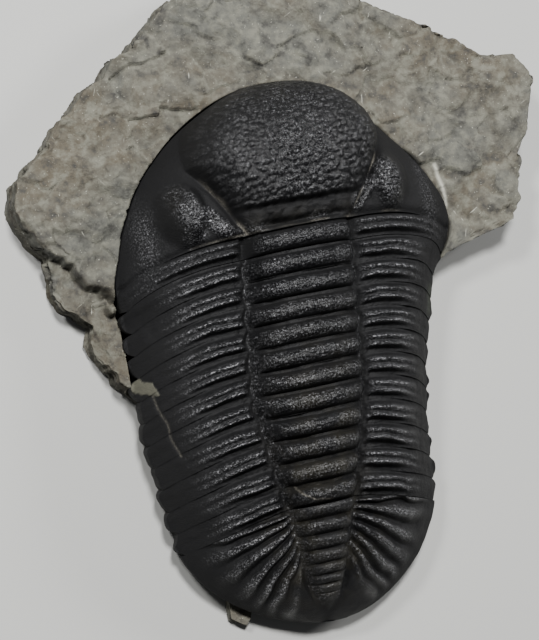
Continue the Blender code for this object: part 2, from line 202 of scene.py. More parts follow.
def inside(x: Array, y: Array, corners: Line) -> Array:
    """How far inside a convex shape each position is.

    Args:
        x: Positions across.
        y: Positions along.
        corners: The shape's corners, clockwise.

    Returns:
        Millimetres to the nearest side, negative outside.
    """
    best = np.full(len(x), FAR)
    for (ax, ay), (bx, by) in zip(corners, [*corners[1:], corners[0]]):
        length = math.hypot(bx - ax, by - ay)
        best = np.minimum(best, ((x - ax) * (by - ay) - (y - ay) * (bx - ax)) / length)
    return best


def near_line(x: Array, y: Array, points: Line, width: float) -> Array:
    """How near each position is to a line of straight runs.

    Args:
        x: Positions across.
        y: Positions along.
        points: The line's points in order.
        width: How far from the line the bell has fallen to about a third.

    Returns:
        A bell of height 1 on the line.
    """
    best = np.full(len(x), FAR)
    for (ax, ay), (bx, by) in zip(points, points[1:]):
        run_x, run_y = bx - ax, by - ay
        share = limit(((x - ax) * run_x + (y - ay) * run_y) / (run_x ** 2 + run_y ** 2))
        best = np.minimum(best, (x - ax - share * run_x) ** 2 + (y - ay - share * run_y) ** 2)
    return np.exp(-best / width ** 2)


@dataclass(frozen=True)
class Step:
    """A smooth step from 0 at start to 1 at end, which may be the smaller of the two."""

    start: float
    end: float

    def at(self, value: Array) -> Array:
        """Its height at each value."""
        return ease(value, self.start, self.end)


@dataclass(frozen=True)
class Bell:
    """A bell of height 1 round a middle value."""

    middle: float
    width: float

    def at(self, value: Array) -> Array:
        """Its height at each value."""
        return bump(value, self.middle, self.width)


@dataclass(frozen=True)
class Waver:
    """Rolling noise of a set height and lump size."""

    height: float
    size: float
    seed: int
    octaves: int = 1

    def at(self, points: Array, series: int = 0) -> Array:
        """Its height at each point; every series is drawn anew."""
        return self.height * cloud(points, self.size, self.seed + series, self.octaves)


@dataclass(frozen=True)
class Grit:
    """Packed round knobs: pitch in millimetres, and the largest radius as a share of it."""

    pitch: float
    seed: int
    fullness: float = 0.55

    def at(self, x: Array, y: Array, series: int = 0) -> Array:
        """Height from 0 to 1 at each position; every series is drawn anew."""
        return knobs(x, y, self.pitch, self.seed + series, self.fullness)


@dataclass(frozen=True)
class Faces:
    """Flat broken faces: mean width, height, and how strongly their edges show."""

    size: float
    seed: int
    height: float
    edge: float = 1.0

    def at(self, points: Array) -> tuple[Array, Array]:
        """Height and edge at each point."""
        height, edge = facets(points, self.size, self.seed)
        return self.height * height, self.edge * edge


# The animal's form

@dataclass(frozen=True)
class BodyPlan:
    """The trilobite's even form in millimetres, with the same driving sizes as its solids."""

    head_y: float = 18.0
    head_length: float = 43.0
    head_half_width: float = 44.6
    head_run_power: float = 1.5
    neck_y: float = 6.0
    neck_half_width: float = 41.3
    tail_y: float = -46.0
    tail_length: float = 30.0
    tail_half_width: float = 35.2
    tail_run_power: float = 1.8
    end_width_power: float = 0.55
    segment_count: int = 11
    pitch: float = 5.7
    first_segment_y: float = 14.5
    axis_width: float = 14.2
    axis_taper_y: float = -18.0
    axis_taper: float = 0.2
    sweep: float = 6.5
    sweep_bend: float = 2.5
    sweep_easing: float = 0.12
    crest: float = 44.0
    rise: float = 8.0
    rear_fall: float = 27.6
    margin: float = 15.0
    margin_slope: float = 0.08
    flank_curve: float = 2.3
    lobe_curve: float = 2.4
    lobe_end: Step = Step(-74.5, -67.0)
    head_fall_power: float = 3.0
    tail_fall_power: float = 6.0
    shear: float = 0.119
    rear_bend: float = 5.6
    rear_bend_y: float = -15.0
    margin_shift: Line = (
        (-76, 3.0), (-68, 1.8), (-60, 1.3), (-48, 1.0), (-38, 0), (-28, -0.8), (-16, -1.1),
        (4, -0.1), (14, 1.2), (24, 1.6), (34, 0), (42, -1.7), (50, -2.2), (60, -2.4))
    bed: float = 3.0
    gap: float = 0.34
    side_trim: float = 0.995
    least: float = 0.1
    place: tuple[float, float] = (-2.240, -7.882)

    @property
    def head_end(self) -> float:
        """The foremost y."""
        return self.head_y + self.head_length

    @property
    def tail_end(self) -> float:
        """The rearmost y."""
        return self.tail_y - self.tail_length

    def round_off(self, run: Array, power: float) -> Array:
        """Share of the width that is left, run of the way to the rounded end."""
        return (1 - limit(run) ** power) ** self.end_width_power

    def half_width(self, y: Array) -> Array:
        """Half the width between the margins.

        Args:
            y: Positions along.

        Returns:
            Millimetres from the middle line to the margin.
        """
        share = (y - self.tail_y) / (self.neck_y - self.tail_y)
        trunk = mix(self.tail_half_width, self.neck_half_width, share)
        middle = mix(trunk, self.head_half_width, ease(y, self.neck_y, self.head_y))
        head_run = (y - self.head_y) / self.head_length
        head = self.head_half_width * self.round_off(head_run, self.head_run_power)
        tail_run = (self.tail_y - y) / self.tail_length
        tail = self.tail_half_width * self.round_off(tail_run, self.tail_run_power)
        return np.where(y > self.head_y, head, np.where(y < self.tail_y, tail, middle))

    def end_run(self, x: Array, widest: float, power: float) -> Array:
        """How far from the widest line a rounded end's margin stands at x, 0 to 1."""
        left = 1 - limit(np.abs(x) / widest) ** (1 / self.end_width_power)
        return left ** (1 / power)

    def margin_height(self, y: Array) -> Array:
        """Height of the margin at y."""
        return self.margin + self.margin_slope * y

    def axis_half_width(self, y: Array) -> Array:
        """Half the width of the axial lobe.

        Args:
            y: Positions along.

        Returns:
            Millimetres from the middle line to the axial furrow.
        """
        ahead = self.axis_width * self.half_width(y) / self.head_half_width
        behind = self.axis_width - self.axis_taper * np.maximum(0, self.axis_taper_y - y)
        return np.where(y > self.head_y, ahead, behind)

    def lobe_rise(self, y: Array) -> Array:
        """How far the axial lobe stands above its furrows at y."""
        return self.rise * self.axis_half_width(y) / self.axis_width

    def crest_height(self, y: Array) -> Array:
        """Top of the axial lobe at y."""
        run = np.maximum(0, self.axis_taper_y - y) / (self.axis_taper_y - self.tail_end)
        return self.crest - self.rear_fall * run ** 2

    def furrow_height(self, y: Array) -> Array:
        """Height of the furrows beside the axial lobe.

        Args:
            y: Positions along.

        Returns:
            Heights, which meet the margin at both ends of the body.
        """
        margin = self.margin_height(y)
        full = self.crest_height(y) - self.lobe_rise(y)
        head_left = 1 - limit((y - self.head_y) / self.head_length) ** self.head_fall_power
        tail_left = 1 - limit((self.tail_y - y) / self.tail_length) ** self.tail_fall_power
        return margin + (full - margin) * np.sqrt(head_left * tail_left)

    def flank_share(self, x: Array, y: Array) -> Array:
        """0 at the axial furrow and within it, 1 at the margin."""
        axis = self.axis_half_width(y)
        return limit((np.abs(x) - axis) / np.maximum(self.half_width(y) - axis, self.least))

    def even_height(self, x: Array, y: Array) -> Array:
        """Flanks and axial lobe without any relief.

        Args:
            x: Positions across.
            y: Positions along.

        Returns:
            Heights above the stone's underside.
        """
        margin = self.margin_height(y)
        fall = 1 - self.flank_share(x, y) ** self.flank_curve
        share = limit(np.abs(x) / np.maximum(self.axis_half_width(y), self.least))
        lobe = self.lobe_rise(y) * (1 - share ** self.lobe_curve) * self.lobe_end.at(y)
        return margin + (self.furrow_height(y) - margin) * fall + lobe

    def swept_y(self, line_y: Array, share: Array) -> Array:
        """Where a line across the body has swept back to on the flank."""
        lines_behind = (self.first_segment_y - line_y) / self.pitch
        return line_y - self.sweep * share ** (self.sweep_bend - self.sweep_easing * lines_behind)

    def edge_y(self, x: Array, line_y: float, rounds: int = 6) -> Array:
        """The y that a line across the body has at x.

        Args:
            x: Positions across.
            line_y: The line's y on the axis.
            rounds: How many times the answer is made closer.

        Returns:
            Positions along.
        """
        y = np.full(len(x), float(line_y))
        for _ in range(rounds):
            y = self.swept_y(line_y, self.flank_share(x, y))
        return y

    def leaned(self, x: Array, y: Array) -> tuple[Array, Array]:
        """Plan position of body points as burial has left them.

        Args:
            x: Positions across the even body.
            y: Positions along it.

        Returns:
            Positions across and along the leaned and bent body.
        """
        bend = np.maximum(0, (self.rear_bend_y - y) / (self.rear_bend_y - self.tail_end))
        lines, shifts = zip(*self.margin_shift)
        outer = limit(np.abs(x) / np.maximum(self.half_width(y), self.least)) ** 2
        shift = np.interp(y, lines, shifts) * outer
        return x + shift + self.rear_bend * bend ** 2, y + self.shear * x

    def settled(self, x: Array, y: Array, z: Array) -> Array:
        """Body points in the frame, in metres, one row for each."""
        leaned_x, leaned_y = self.leaned(x, y)
        return spots(leaned_x + self.place[0], leaned_y + self.place[1], z) * MM

    def margin_line(self, offset: float, steps: int = 960) -> Array:
        """Closed outline of the animal.

        Args:
            offset: Millimetres that it is moved outwards.
            steps: How many points it has.

        Returns:
            Leaned plan positions, one row of two for each.
        """
        turn = np.linspace(0, 2 * np.pi, steps, endpoint=False)
        y = (self.head_end + self.tail_end) / 2 + (self.head_end - self.tail_end) / 2 * np.sin(turn)
        x = np.where(np.cos(turn) >= 0, 1, -1) * self.half_width(y)
        around = np.stack([x, y], 1)
        along = np.roll(around, -1, 0) - np.roll(around, 1, 0)
        outward = np.stack([along[:, 1], -along[:, 0]], 1)
        outward /= np.maximum(np.linalg.norm(outward, axis=1), 1 / FAR)[:, None]
        around = around + offset * outward
        return np.stack(self.leaned(around[:, 0], around[:, 1]), 1)


# Materials

Socket = bpy.types.NodeSocket
Tree = bpy.types.NodeTree


def colour(code: Hex) -> tuple[float, float, float, float]:
    """Linear colour of an sRGB hex code.

    Args:
        code: The code, such as #44443f.

    Returns:
        Red, green, blue and a full alpha.
    """
    parts = [int(code[place:place + 2], 16) / 255 for place in (1, 3, 5)]
    linear = [part / 12.92 if part <= 0.04045 else ((part + 0.055) / 1.055) ** 2.4 for part in parts]
    return (*linear, 1.0)


def add(tree: Tree, kind: str, values: dict | None = None, output: int | str = 0,
        **settings: object) -> Socket | None:
    """Add one node to a material.

    Args:
        tree: The material's nodes.
        kind: The node's type, without its ShaderNode prefix.
        values: Its inputs by name or number: a socket is linked, anything else is set.
        output: Which of its outputs is wanted.
        **settings: Its own settings.

    Returns:
        The output, or nothing where it has none.
    """
    made = tree.nodes.new("ShaderNode" + kind)
    for name, value in settings.items():
        setattr(made, name, value)
    for name, value in (values or {}).items():
        if isinstance(value, Socket):
            tree.links.new(value, made.inputs[name])
        else:
            made.inputs[name].default_value = value
    return made.outputs[output] if made.outputs else None


def blank(name: str) -> tuple[bpy.types.Material, Tree]:
    """A new material without a finish.

    Args:
        name: The material's name.

    Returns:
        The material and its nodes.
    """
    material = bpy.data.materials.new(name)
    material.use_nodes = True
    material.node_tree.nodes.clear()
    return material, material.node_tree


def layered(tree: Tree, base: Hex, layers: Sequence[tuple[Socket, Hex]]) -> Socket:
    """Colours laid over one another.

    Args:
        tree: The material's nodes.
        base: The lowest colour.
        layers: How much of each colour is laid over those before it.

    Returns:
        The colour.
    """
    shade = colour(base)
    for share, tint in layers:
        shade = add(tree, "Mix", {0: share, 6: shade, 7: colour(tint)}, 2, data_type="RGBA")
    return shade


@dataclass(frozen=True)
class ShellFinish:
    """Fossil shell: black calcite, air-abraded and waxed, so its ridges gleam and its pits stay dull, with
    a painted highlight of pale grey and white specks on its crests.

    A noise is its width in millimetres, detail and roughness. A span is the range of a noise that
    becomes 0 to 1, or becomes the second range after it.
    """

    base: Hex = "#0a0a0b"
    # Painted highlight: pale grey laid on crests and ring tops, partly the real lightening of abraded
    # ridges and partly the sheen of light on them.
    wear_and_painted_highlight: Hex = "#6c6c6e"
    # Painted highlight: near-white glints laid into the colour of the brightest crests.
    glint: Hex = "#b4b4b6"
    brown: Hex = "#2c2819"
    green: Hex = "#23261f"
    film: Hex = "#46453c"
    residue: Hex = "#6f6b62"
    roughness: float = 0.27
    dusty_roughness: float = 0.85
    ior: float = 1.5
    specular: float = 0.19
    # The real grain is finer than a pixel, so it is drawn as coarse as it needs to show.
    grain_noise: Span = (0.45, 4.0, 0.7)
    patch_noise: Span = (7.0, 5.0, 0.62)
    # Breaks the painted highlight on the crests into patches.
    wear_and_sheen_span: Span = (0.36, 0.58, 0.45, 1.15)
    speck_span: Span = (0.5, 0.74)
    spark_span: Span = (0.66, 0.78)
    tinge_span: Span = (0.4, 0.62)
    dust_span: Span = (0.35, 0.6)
    dull_span: Span = (0.3, 0.7, 0.74, 0.92)
    pits_mm: float = 0.3
    pits: float = 0.8

    def material(self) -> bpy.types.Material:
        """The shell's material.

        Returns:
            The material, which reads the marks that each plate carries.
        """
        material, tree = blank("black_calcite_shell_waxed")
        place = add(tree, "TexCoord", output="Object")
        marks = {name: add(tree, "Attribute", output="Fac", attribute_name=name)
                 for name in ("residue", "crest", "brown", "green", "film", "polish")}
        grain, patches = (
            add(tree, "TexNoise", {"Vector": place, "Scale": 1 / (width * MM), "Detail": detail,
                                   "Roughness": roughness})
            for width, detail, roughness in (self.grain_noise, self.patch_noise))
        wear_and_sheen, speck, spark, tinge, dust, dull = (
            add(tree, "MapRange", dict(enumerate(limits)))
            for limits in ((patches, *self.wear_and_sheen_span), (grain, *self.speck_span),
                           (grain, *self.spark_span), (patches, *self.tinge_span),
                           (grain, *self.dust_span), (patches, *self.dull_span)))
        # The crest mark, broken into patches, sets where the painted highlight goes.
        crest = add(tree, "Math", {0: marks["crest"], 1: wear_and_sheen}, operation="MULTIPLY")
        caught_light, glint, brown, dusted = (
            add(tree, "Math", dict(enumerate(pair)), operation="MULTIPLY")
            for pair in ((crest, speck), (crest, spark), (marks["brown"], tinge), (marks["residue"], dust)))
        rough = dull
        for share, smooth in ((marks["polish"], self.roughness), (dusted, self.dusty_roughness)):
            rough = add(tree, "Mix", {0: share, 2: rough, 3: smooth}, data_type="FLOAT")
        shader = add(tree, "BsdfPrincipled", {
            # Over the black go the painted highlight (grey, then white glints) and the real brown, green,
            # film and residue colours.
            "Base Color": layered(tree, self.base, (
                (caught_light, self.wear_and_painted_highlight), (glint, self.glint), (brown, self.brown),
                (marks["green"], self.green), (marks["film"], self.film), (dusted, self.residue))),
            "Roughness": rough, "IOR": self.ior, "Specular IOR Level": self.specular, "Metallic": 0.0,
            "Normal": add(tree, "Bump", {"Strength": self.pits, "Distance": self.pits_mm * MM,
                                         "Height": grain})})
        add(tree, "OutputMaterial", {"Surface": shader})
        return material


@dataclass(frozen=True)
class LimestoneFinish:
    """Hard grey micritic limestone, split and chipped: matt, with dusty crests and calcite specks.

    Noises and spans are as in ShellFinish.
    """

    base: Hex = "#44443f"
    brown: Hex = "#423d33"
    pale: Hex = "#59584f"
    calcite: Hex = "#86857b"
    dark: Hex = "#2f2e2b"
    # Painted shade: a dark line drawn along the crack in the bench, whose surface has no groove there.
    crack_shade: Hex = "#2f2c27"
    roughness: float = 0.88
    ior: float = 1.5
    specular: float = 0.3
    bed_flatness: float = 6.0
    bed_noise: Span = (26.0, 6.0, 0.6)
    spot_noise: Span = (3.4, 7.0, 0.66)
    # Micrite's own grain can't be seen, so this is as coarse as its calcite specks.
    grain_noise: Span = (0.5, 2.0, 0.5)
    scratch_noise: Span = (6.0, 2.0, 0.5)
    brown_span: Span = (0.38, 0.62)
    pale_span: Span = (0.5, 0.72)
    dark_span: Span = (0.47, 0.33)
    chip_span: Span = (0.42, 0.6)
    speck_span: Span = (0.69, 0.76)
    scratch_span: Span = (0.74, 0.8)
    scratch_width: float = 0.14
    scratch_turns: Span = (-55.0, 35.0, 80.0)
    pits_mm: float = 0.4
    pits: float = 0.5
    spot_pits: float = 2.0

    def material(self) -> bpy.types.Material:
        """The stone's material.

        Returns:
            The material, which reads the marks that the stone carries.
        """
        material, tree = blank("grey_limestone_split")
        place = add(tree, "TexCoord", output="Object")
        vein, crack, edge = (add(tree, "Attribute", output="Fac", attribute_name=name)
                             for name in ("vein", "crack", "edge"))
        beds = add(tree, "Mapping", {"Vector": place, "Scale": (1.0, 1.0, self.bed_flatness)})
        drawn = [add(tree, "Mapping", {"Vector": place, "Rotation": (0, 0, math.radians(turn)),
                                       "Scale": (1.0, self.scratch_width, 1.0)}, vector_type="TEXTURE")
                 for turn in self.scratch_turns]
        broad, fine, grain, *scratches = (
            add(tree, "TexNoise", {"Vector": over, "Scale": 1 / (width * MM), "Detail": detail,
                                   "Roughness": roughness})
            for over, width, detail, roughness in (
                (beds, *self.bed_noise), (place, *self.spot_noise), (place, *self.grain_noise),
                *[(way, *self.scratch_noise) for way in drawn]))
        browned, paled, darkened, chipped, specks, *scratched = (
            add(tree, "MapRange", dict(enumerate(limits)))
            for limits in ((broad, *self.brown_span), (fine, *self.pale_span), (fine, *self.dark_span),
                           (fine, *self.chip_span), (grain, *self.speck_span),
                           *[(scratch, *self.scratch_span) for scratch in scratches]))
        chips = add(tree, "Math", {0: edge, 1: chipped}, operation="MULTIPLY")
        height = add(tree, "Math", {0: fine, 1: self.spot_pits, 2: grain}, operation="MULTIPLY_ADD")
        shader = add(tree, "BsdfPrincipled", {
            "Base Color": layered(tree, self.base, (
                (browned, self.brown), (paled, self.pale), (darkened, self.dark), (chips, self.pale),
                # The crack mark lays painted shade along the crack.
                (specks, self.calcite), (vein, self.calcite), (crack, self.crack_shade),
                *[(share, self.calcite) for share in scratched])),
            "Roughness": self.roughness, "IOR": self.ior, "Specular IOR Level": self.specular,
            "Metallic": 0.0,
            "Normal": add(tree, "Bump", {"Strength": self.pits, "Distance": self.pits_mm * MM,
                                         "Height": height})})
        add(tree, "OutputMaterial", {"Surface": shader})
        return material


@dataclass(frozen=True)
class FloorFinish:
    """Plain pale laminate under the stone: pressed, even and satin, so it gives a soft sheen."""

    shade: Hex = "#8d8d8a"
    roughness: float = 0.6

    def material(self) -> bpy.types.Material:
        """The floor's material.

        Returns:
            The material.
        """
        material, tree = blank("pale_laminate_satin")
        shader = add(tree, "BsdfPrincipled", {"Base Color": colour(self.shade),
                                              "Roughness": self.roughness})
        add(tree, "OutputMaterial", {"Surface": shader})
        return material


# Making meshes

def publish(bm: bmesh.types.BMesh, name: str, material: bpy.types.Material,
            marks: dict[str, Array] | None = None, sharp: float = 55.0) -> bpy.types.Object:
    """Turn a bmesh into an object at the origin.

    Args:
        bm: The finished mesh, in metres; it is freed.
        name: Name of the piece.
        material: Its finish.
        marks: Values for its first vertices by attribute name; the rest get 0.
        sharp: Faces that meet at more than this many degrees keep a sharp edge.

    Returns:
        The object.
    """
    bmesh.ops.recalc_face_normals(bm, faces=bm.faces)
    mesh = bpy.data.meshes.new(name)
    bm.to_mesh(mesh)
    bm.free()
    for label, values in (marks or {}).items():
        padded = np.zeros(len(mesh.vertices), dtype=np.float32)
        padded[:len(values)] = values
        mesh.attributes.new(label, "FLOAT", "POINT").data.foreach_set("value", padded)
    mesh.shade_smooth()
    mesh.set_sharp_from_angle(angle=math.radians(sharp))
    mesh.materials.append(material)
    made = bpy.data.objects.new(name, mesh)
    bpy.context.scene.collection.objects.link(made)
    return made


def laid_grid(columns: int, rows: int) -> tuple[bmesh.types.BMesh, Array, Array]:
    """A flat grid.

    Args:
        columns: Faces across.
        rows: Faces along.

    Returns:
        The grid, and its vertices' shares of the way across and along, 0 to 1.
    """
    bm = bmesh.new()
    bmesh.ops.create_grid(bm, x_segments=columns, y_segments=rows, size=0.5)
    flat = np.array([vert.co[:2] for vert in bm.verts]) + 0.5
    return bm, np.round(flat[:, 0] * columns) / columns, np.round(flat[:, 1] * rows) / rows


def move_all(bm: bmesh.types.BMesh, positions: Array) -> None:
    """Put every vertex at its row of positions."""
    for vert, position in zip(bm.verts, positions.tolist()):
        vert.co = position


# The shell's relief, in millimetres

@dataclass(frozen=True)
class Ring:
    """A ring of the axis: a rounded bar with low side nodes, and a deep groove on each side of it."""

    middle: float = 0.45
    half_length: float = 0.42
    roundness: float = 0.6
    groove: float = 2.8
    height: float = 3.2
    node_height: float = 0.6
    node_across: Bell = Bell(0.74, 0.14)
    node_along: Bell = Bell(0.45, 0.25)
    side: Step = Step(-0.2, 2.6)
    top: Step = Step(-1.4, -0.3)

    def relief(self, along: Array, x: Array, axis: Array) -> Array:
        """Heights over the even axis.

        Args:
            along: 0 at the ring's rear edge, 1 at its front edge.
            x: Positions across.
            axis: Half the width of the axis at each position.

        Returns:
            Millimetres, negative in the grooves.
        """
        off = limit(np.abs(along - self.middle) / self.half_length)
        dome = (1 - off ** 2) ** self.roundness
        nodes = self.node_height * self.node_across.at(np.abs(x) / axis) * self.node_along.at(along)
        return (self.height * dome - self.groove + nodes) * self.side.at(axis - np.abs(x))


@dataclass(frozen=True)
class Pleura:
    """A double rib beside the axis that flattens to a low shingle on the flank."""

    rear: Step = Step(0.1, 0.3)
    front: Step = Step(0.95, 0.72)
    first_ridge: Bell = Bell(0.33, 0.1)
    second_ridge: Bell = Bell(0.66, 0.1)
    second_height: float = 0.92
    ridge_share: float = 0.4
    flattening: Step = Step(0.34, 0.8)
    start: Step = Step(0.3, 2.6)
    shingle_fall: Step = Step(0.6, 1.0)
    shingle_depth: float = 0.9
    shingle_groove: Bell = Bell(0.4, 0.12)
    groove_depth: float = 0.25
    depth: float = 3.0
    flank_depth: float = 0.4

    def relief(self, along: Array, share: Array, off_axis: Array) -> tuple[Array, Array]:
        """Heights over the even flank.

        Args:
            along: 0 at the segment's rear edge, 1 at its front edge.
            share: 0 at the axial furrow, 1 at the margin.
            off_axis: Millimetres from the axial furrow.

        Returns:
            Heights in millimetres, and how much each point is on a crest.
        """
        raised = self.rear.at(along) * self.front.at(along)
        ridges = np.maximum(self.first_ridge.at(along), self.second_height * self.second_ridge.at(along))
        flat = self.flattening.at(share)
        start = self.start.at(off_axis)
        shingle = 1.0 - self.shingle_depth * self.shingle_fall.at(along)
        shingle = shingle - self.groove_depth * self.shingle_groove.at(along)
        depth = mix(self.depth, self.flank_depth, flat)
        height = depth * (mix(mix(raised, ridges, self.ridge_share), shingle, flat) - 1) * start
        return height, ridges * (1 - flat) * start


Surface = tuple[Array, Array, Array, dict[str, Array]]


@dataclass
class Sclerite:
    """One plate of the shell: a relief over the body's form, closed below by a tucked-in wall."""

    plan: BodyPlan
    name: str
    columns: int = 320
    rows: int = 36
    tuck: float = 0.035
    wall_steps: int = 7
    least_wall: float = 0.5
    ring: Ring = Ring()
    pleura: Pleura = Pleura()
    axial_furrow: Bell = Bell(0.0, 1.6)
    axial_depth: float = 3.9
    wander: float = 0.4
    wrinkles: Waver = Waver(0.5, 4.0, 27, 2)
    lumps: Waver = Waver(0.55, 8.0, 88, 3)
    lumpy: Step = Step(0.3, 0.7)
    wear_and_sheen: float = 0.3
    grit_wear_and_sheen: float = 0.9

    def surface(self, u: Array, v: Array) -> Surface:
        """Body points and marks at shares u across and v along; each plate has its own."""
        raise NotImplementedError

    def pivot_y(self) -> float:
        """The y that the wall below the margin draws in towards."""
        raise NotImplementedError

    def wear_and_painted_highlight(self, raised: Array, grit: Array) -> Array:
        """How bright wear and painted highlight make what is raised, most on its knobs."""
        return raised * (self.wear_and_sheen + self.grit_wear_and_sheen * grit)

    def swollen(self, x: Array, y: Array, share: Array) -> Array:
        """Low lumps of the flank, 0 on the axis."""
        return self.lumps.at(spots(x, y)) * self.lumpy.at(share)

    def build(self, material: bpy.types.Material) -> bpy.types.Object:
        """Lay the grid over the form, draw the wall down from its rim and close it below.

        Args:
            material: The shell's finish.

        Returns:
            The finished plate.
        """
        bm, u, v = laid_grid(self.columns, self.rows)
        x, y, z, marks = self.surface(u, v)
        move_all(bm, self.plan.settled(x, y, np.maximum(z, self.plan.bed + self.least_wall)))
        rim = [edge for edge in bm.edges if edge.is_boundary]
        pivot = Vector(self.plan.settled(np.zeros(1), np.array([self.pivot_y()]), np.zeros(1))[0])
        bed = self.plan.bed * MM
        for step in range(1, self.wall_steps + 1):
            made = bmesh.ops.extrude_edge_only(bm, edges=rim)["geom"]
            rim = [item for item in made if isinstance(item, bmesh.types.BMEdge)]
            left = 1 / (self.wall_steps + 1 - step)
            drawn = self.tuck * (2 * step - 1) / self.wall_steps ** 2
            for vert in (item for item in made if isinstance(item, bmesh.types.BMVert)):
                vert.co.x -= drawn * (vert.co.x - pivot.x)
                vert.co.y -= drawn * (vert.co.y - pivot.y)
                vert.co.z += (bed - vert.co.z) * left
        bmesh.ops.contextual_create(bm, geom=rim)
        piece = publish(bm, self.name + "_shell", material, marks)
        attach(piece, "root")
        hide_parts(self.name)
        return piece


@dataclass
class ThoracicSegment(Sclerite):
    """One of the eleven rings that let the animal flex, with its two pleurae."""

    number: int = 1
    axial_share: float = 0.36
    seam: float = 0.02
    scallop: float = 0.9
    tip_rounding: float = 1.2
    tip_power: int = 3
    tip_share_power: int = 6
    tip_waver: Waver = Waver(1.2, 1.0, 37)
    tip_stretch: float = 3.0
    series_step: float = 9.0
    rib_waver: Waver = Waver(0.08, 8.0, 21, 3)
    ring_waver: Waver = Waver(0.25, 6.0, 25, 2)
    grit: Grit = Grit(0.85, 40)
    ring_grit: tuple[float, float] = (0.091, 0.26)
    flank_grit: tuple[float, float] = (0.15, 0.08)
    skin: Waver = Waver(0.16, 2.6, 70, 2)
    film: Line = ((-45.0, -2.0), (-37.0, -7.6), (-34.6, -11.6), (-45.0, -8.4))
    film_waver: Waver = Waver(0.5, 2.0, 77, 3)
    film_edge: Step = Step(0.0, 0.3)
    film_thickness: float = 0.5
    fracture: Line = ((-36.0, -11.1), (-35.0, -14.8), (-33.4, -18.7), (-32.8, -22.9), (-31.2, -27.3))
    fracture_depth: float = 0.5
    fracture_widths: tuple[float, float] = (0.4, 0.16)
    scar: Line = ((-7.1, -39.9), (-6.2, -42.1), (-3.8, -43.8), (1.0, -44.6))
    scar_width: float = 0.2
    stain: Line = ((38.4, 1.7), (38.6, -3.6))
    stain_width: float = 1.3
    brown_start: float = 10.0
    brown_length: float = 60.0
    brown_line: Bell = Bell(4.0, 7.0)
    polished: Step = Step(0.95, 0.4)
    dull_furrow: Bell = Bell(0.0, 1.3)
    dulled: float = 0.6
    least_polish: float = 0.35
    rib_shine: float = 2.5
    fracture_dust: float = 0.35
    scar_dust: float = 0.5
    brown_share: float = 0.3

    def line_y(self) -> float:
        """The segment's middle line on the axis."""
        return self.plan.first_segment_y - self.plan.pitch * (self.number - 1)

    def pivot_y(self) -> float:
        """The wall draws in straight sideways."""
        return self.line_y() - self.plan.sweep

    def shine(self, share: Array, off_axis: Array) -> Array:
        """How far abrasion and wax have polished the shell: least in the furrow and down the flank."""
        return self.polished.at(share) * (1 - self.dulled * self.dull_furrow.at(off_axis))

    def outline(self, u: Array, v: Array) -> tuple[Array, Array, Array, Array]:
        """Plan of the segment, with its swept and rounded tips.

        Args:
            u: Shares across.
            v: Shares along.

        Returns:
            Positions across and along, shares of the flank, and half the width of the axis.
        """
        plan = self.plan
        line = self.line_y() + (v - 0.5) * (plan.pitch - self.seam)
        side = 2 * u - 1
        axial = np.abs(side) <= self.axial_share
        share = np.where(axial, 0, (np.abs(side) - self.axial_share) / (1 - self.axial_share))
        y = plan.swept_y(line, share)
        axis = plan.axis_half_width(y)
        uneven = self.tip_waver.at(spots(side * self.tip_stretch, v + self.number * self.series_step))
        tip = self.tip_rounding * np.abs(2 * v - 1) ** self.tip_power + uneven * (v * (1 - v) * 4)
        tip = tip * share ** self.tip_share_power
        reach = axis + (plan.half_width(y) - tip - axis) * share
        x = np.where(axial, side / self.axial_share * axis, np.sign(side) * reach)
        return x, y, share, axis + self.scallop * (np.sin(np.pi * v) - 0.5)

    def surface(self, u: Array, v: Array) -> Surface:
        """Ring and pleurae of this segment.

        Args:
            u: Shares across.
            v: Shares along.

        Returns:
            Body points and the marks that they carry.
        """
        x, y, share, axis = self.outline(u, v)
        off_axis = np.abs(x) - axis
        on_axis = off_axis < 0
        path = spots(x, y * self.wander, self.series_step * self.number)
        along = v + self.rib_waver.at(path) * (v * (1 - v) * 4)
        rib, crest = self.pleura.relief(along, share, off_axis)
        ring = self.ring.relief(along, x, axis) * (1 + self.ring_waver.at(path)) + self.wrinkles.at(path)
        z = self.plan.even_height(x, y) + np.where(on_axis, ring, rib)
        z = z - self.axial_depth * self.axial_furrow.at(off_axis)
        grit = self.grit.at(x, y, self.number)
        on_ring = np.where(on_axis, self.ring.top.at(ring), 0.0)
        z = z + grit * np.where(on_axis, mix(*self.ring_grit, on_ring), mix(*self.flank_grit, share))
        here = spots(x, y, z)
        z = z + self.skin.at(here, self.number) + self.swollen(x, y, share)
        film = self.film_edge.at(inside(x, y, self.film) + self.film_waver.at(here))
        groove, dusty = self.fracture_widths
        z = z + self.film_thickness * film
        z = z - self.fracture_depth * near_line(x, y, self.fracture, groove)
        behind = limit((self.brown_start - y) / self.brown_length)
        polished = limit(mix(self.least_polish, 1.0, np.maximum(crest, on_ring)))
        marks = {
            # crest: where the painted highlight goes, on the ribs' crests and the worn ring tops.
            "crest": np.maximum(self.rib_shine * crest, self.wear_and_painted_highlight(on_ring, grit)),
            "polish": polished * self.shine(share, off_axis),
            "residue": (self.fracture_dust * near_line(x, y, self.fracture, dusty)
                        + self.scar_dust * near_line(x, y, self.scar, self.scar_width)),
            "brown": self.brown_share * behind * self.brown_line.at(np.abs(x)),
            "green": near_line(x, y, self.stain, self.stain_width),
            "film": film,
        }
        return x, y, z, marks


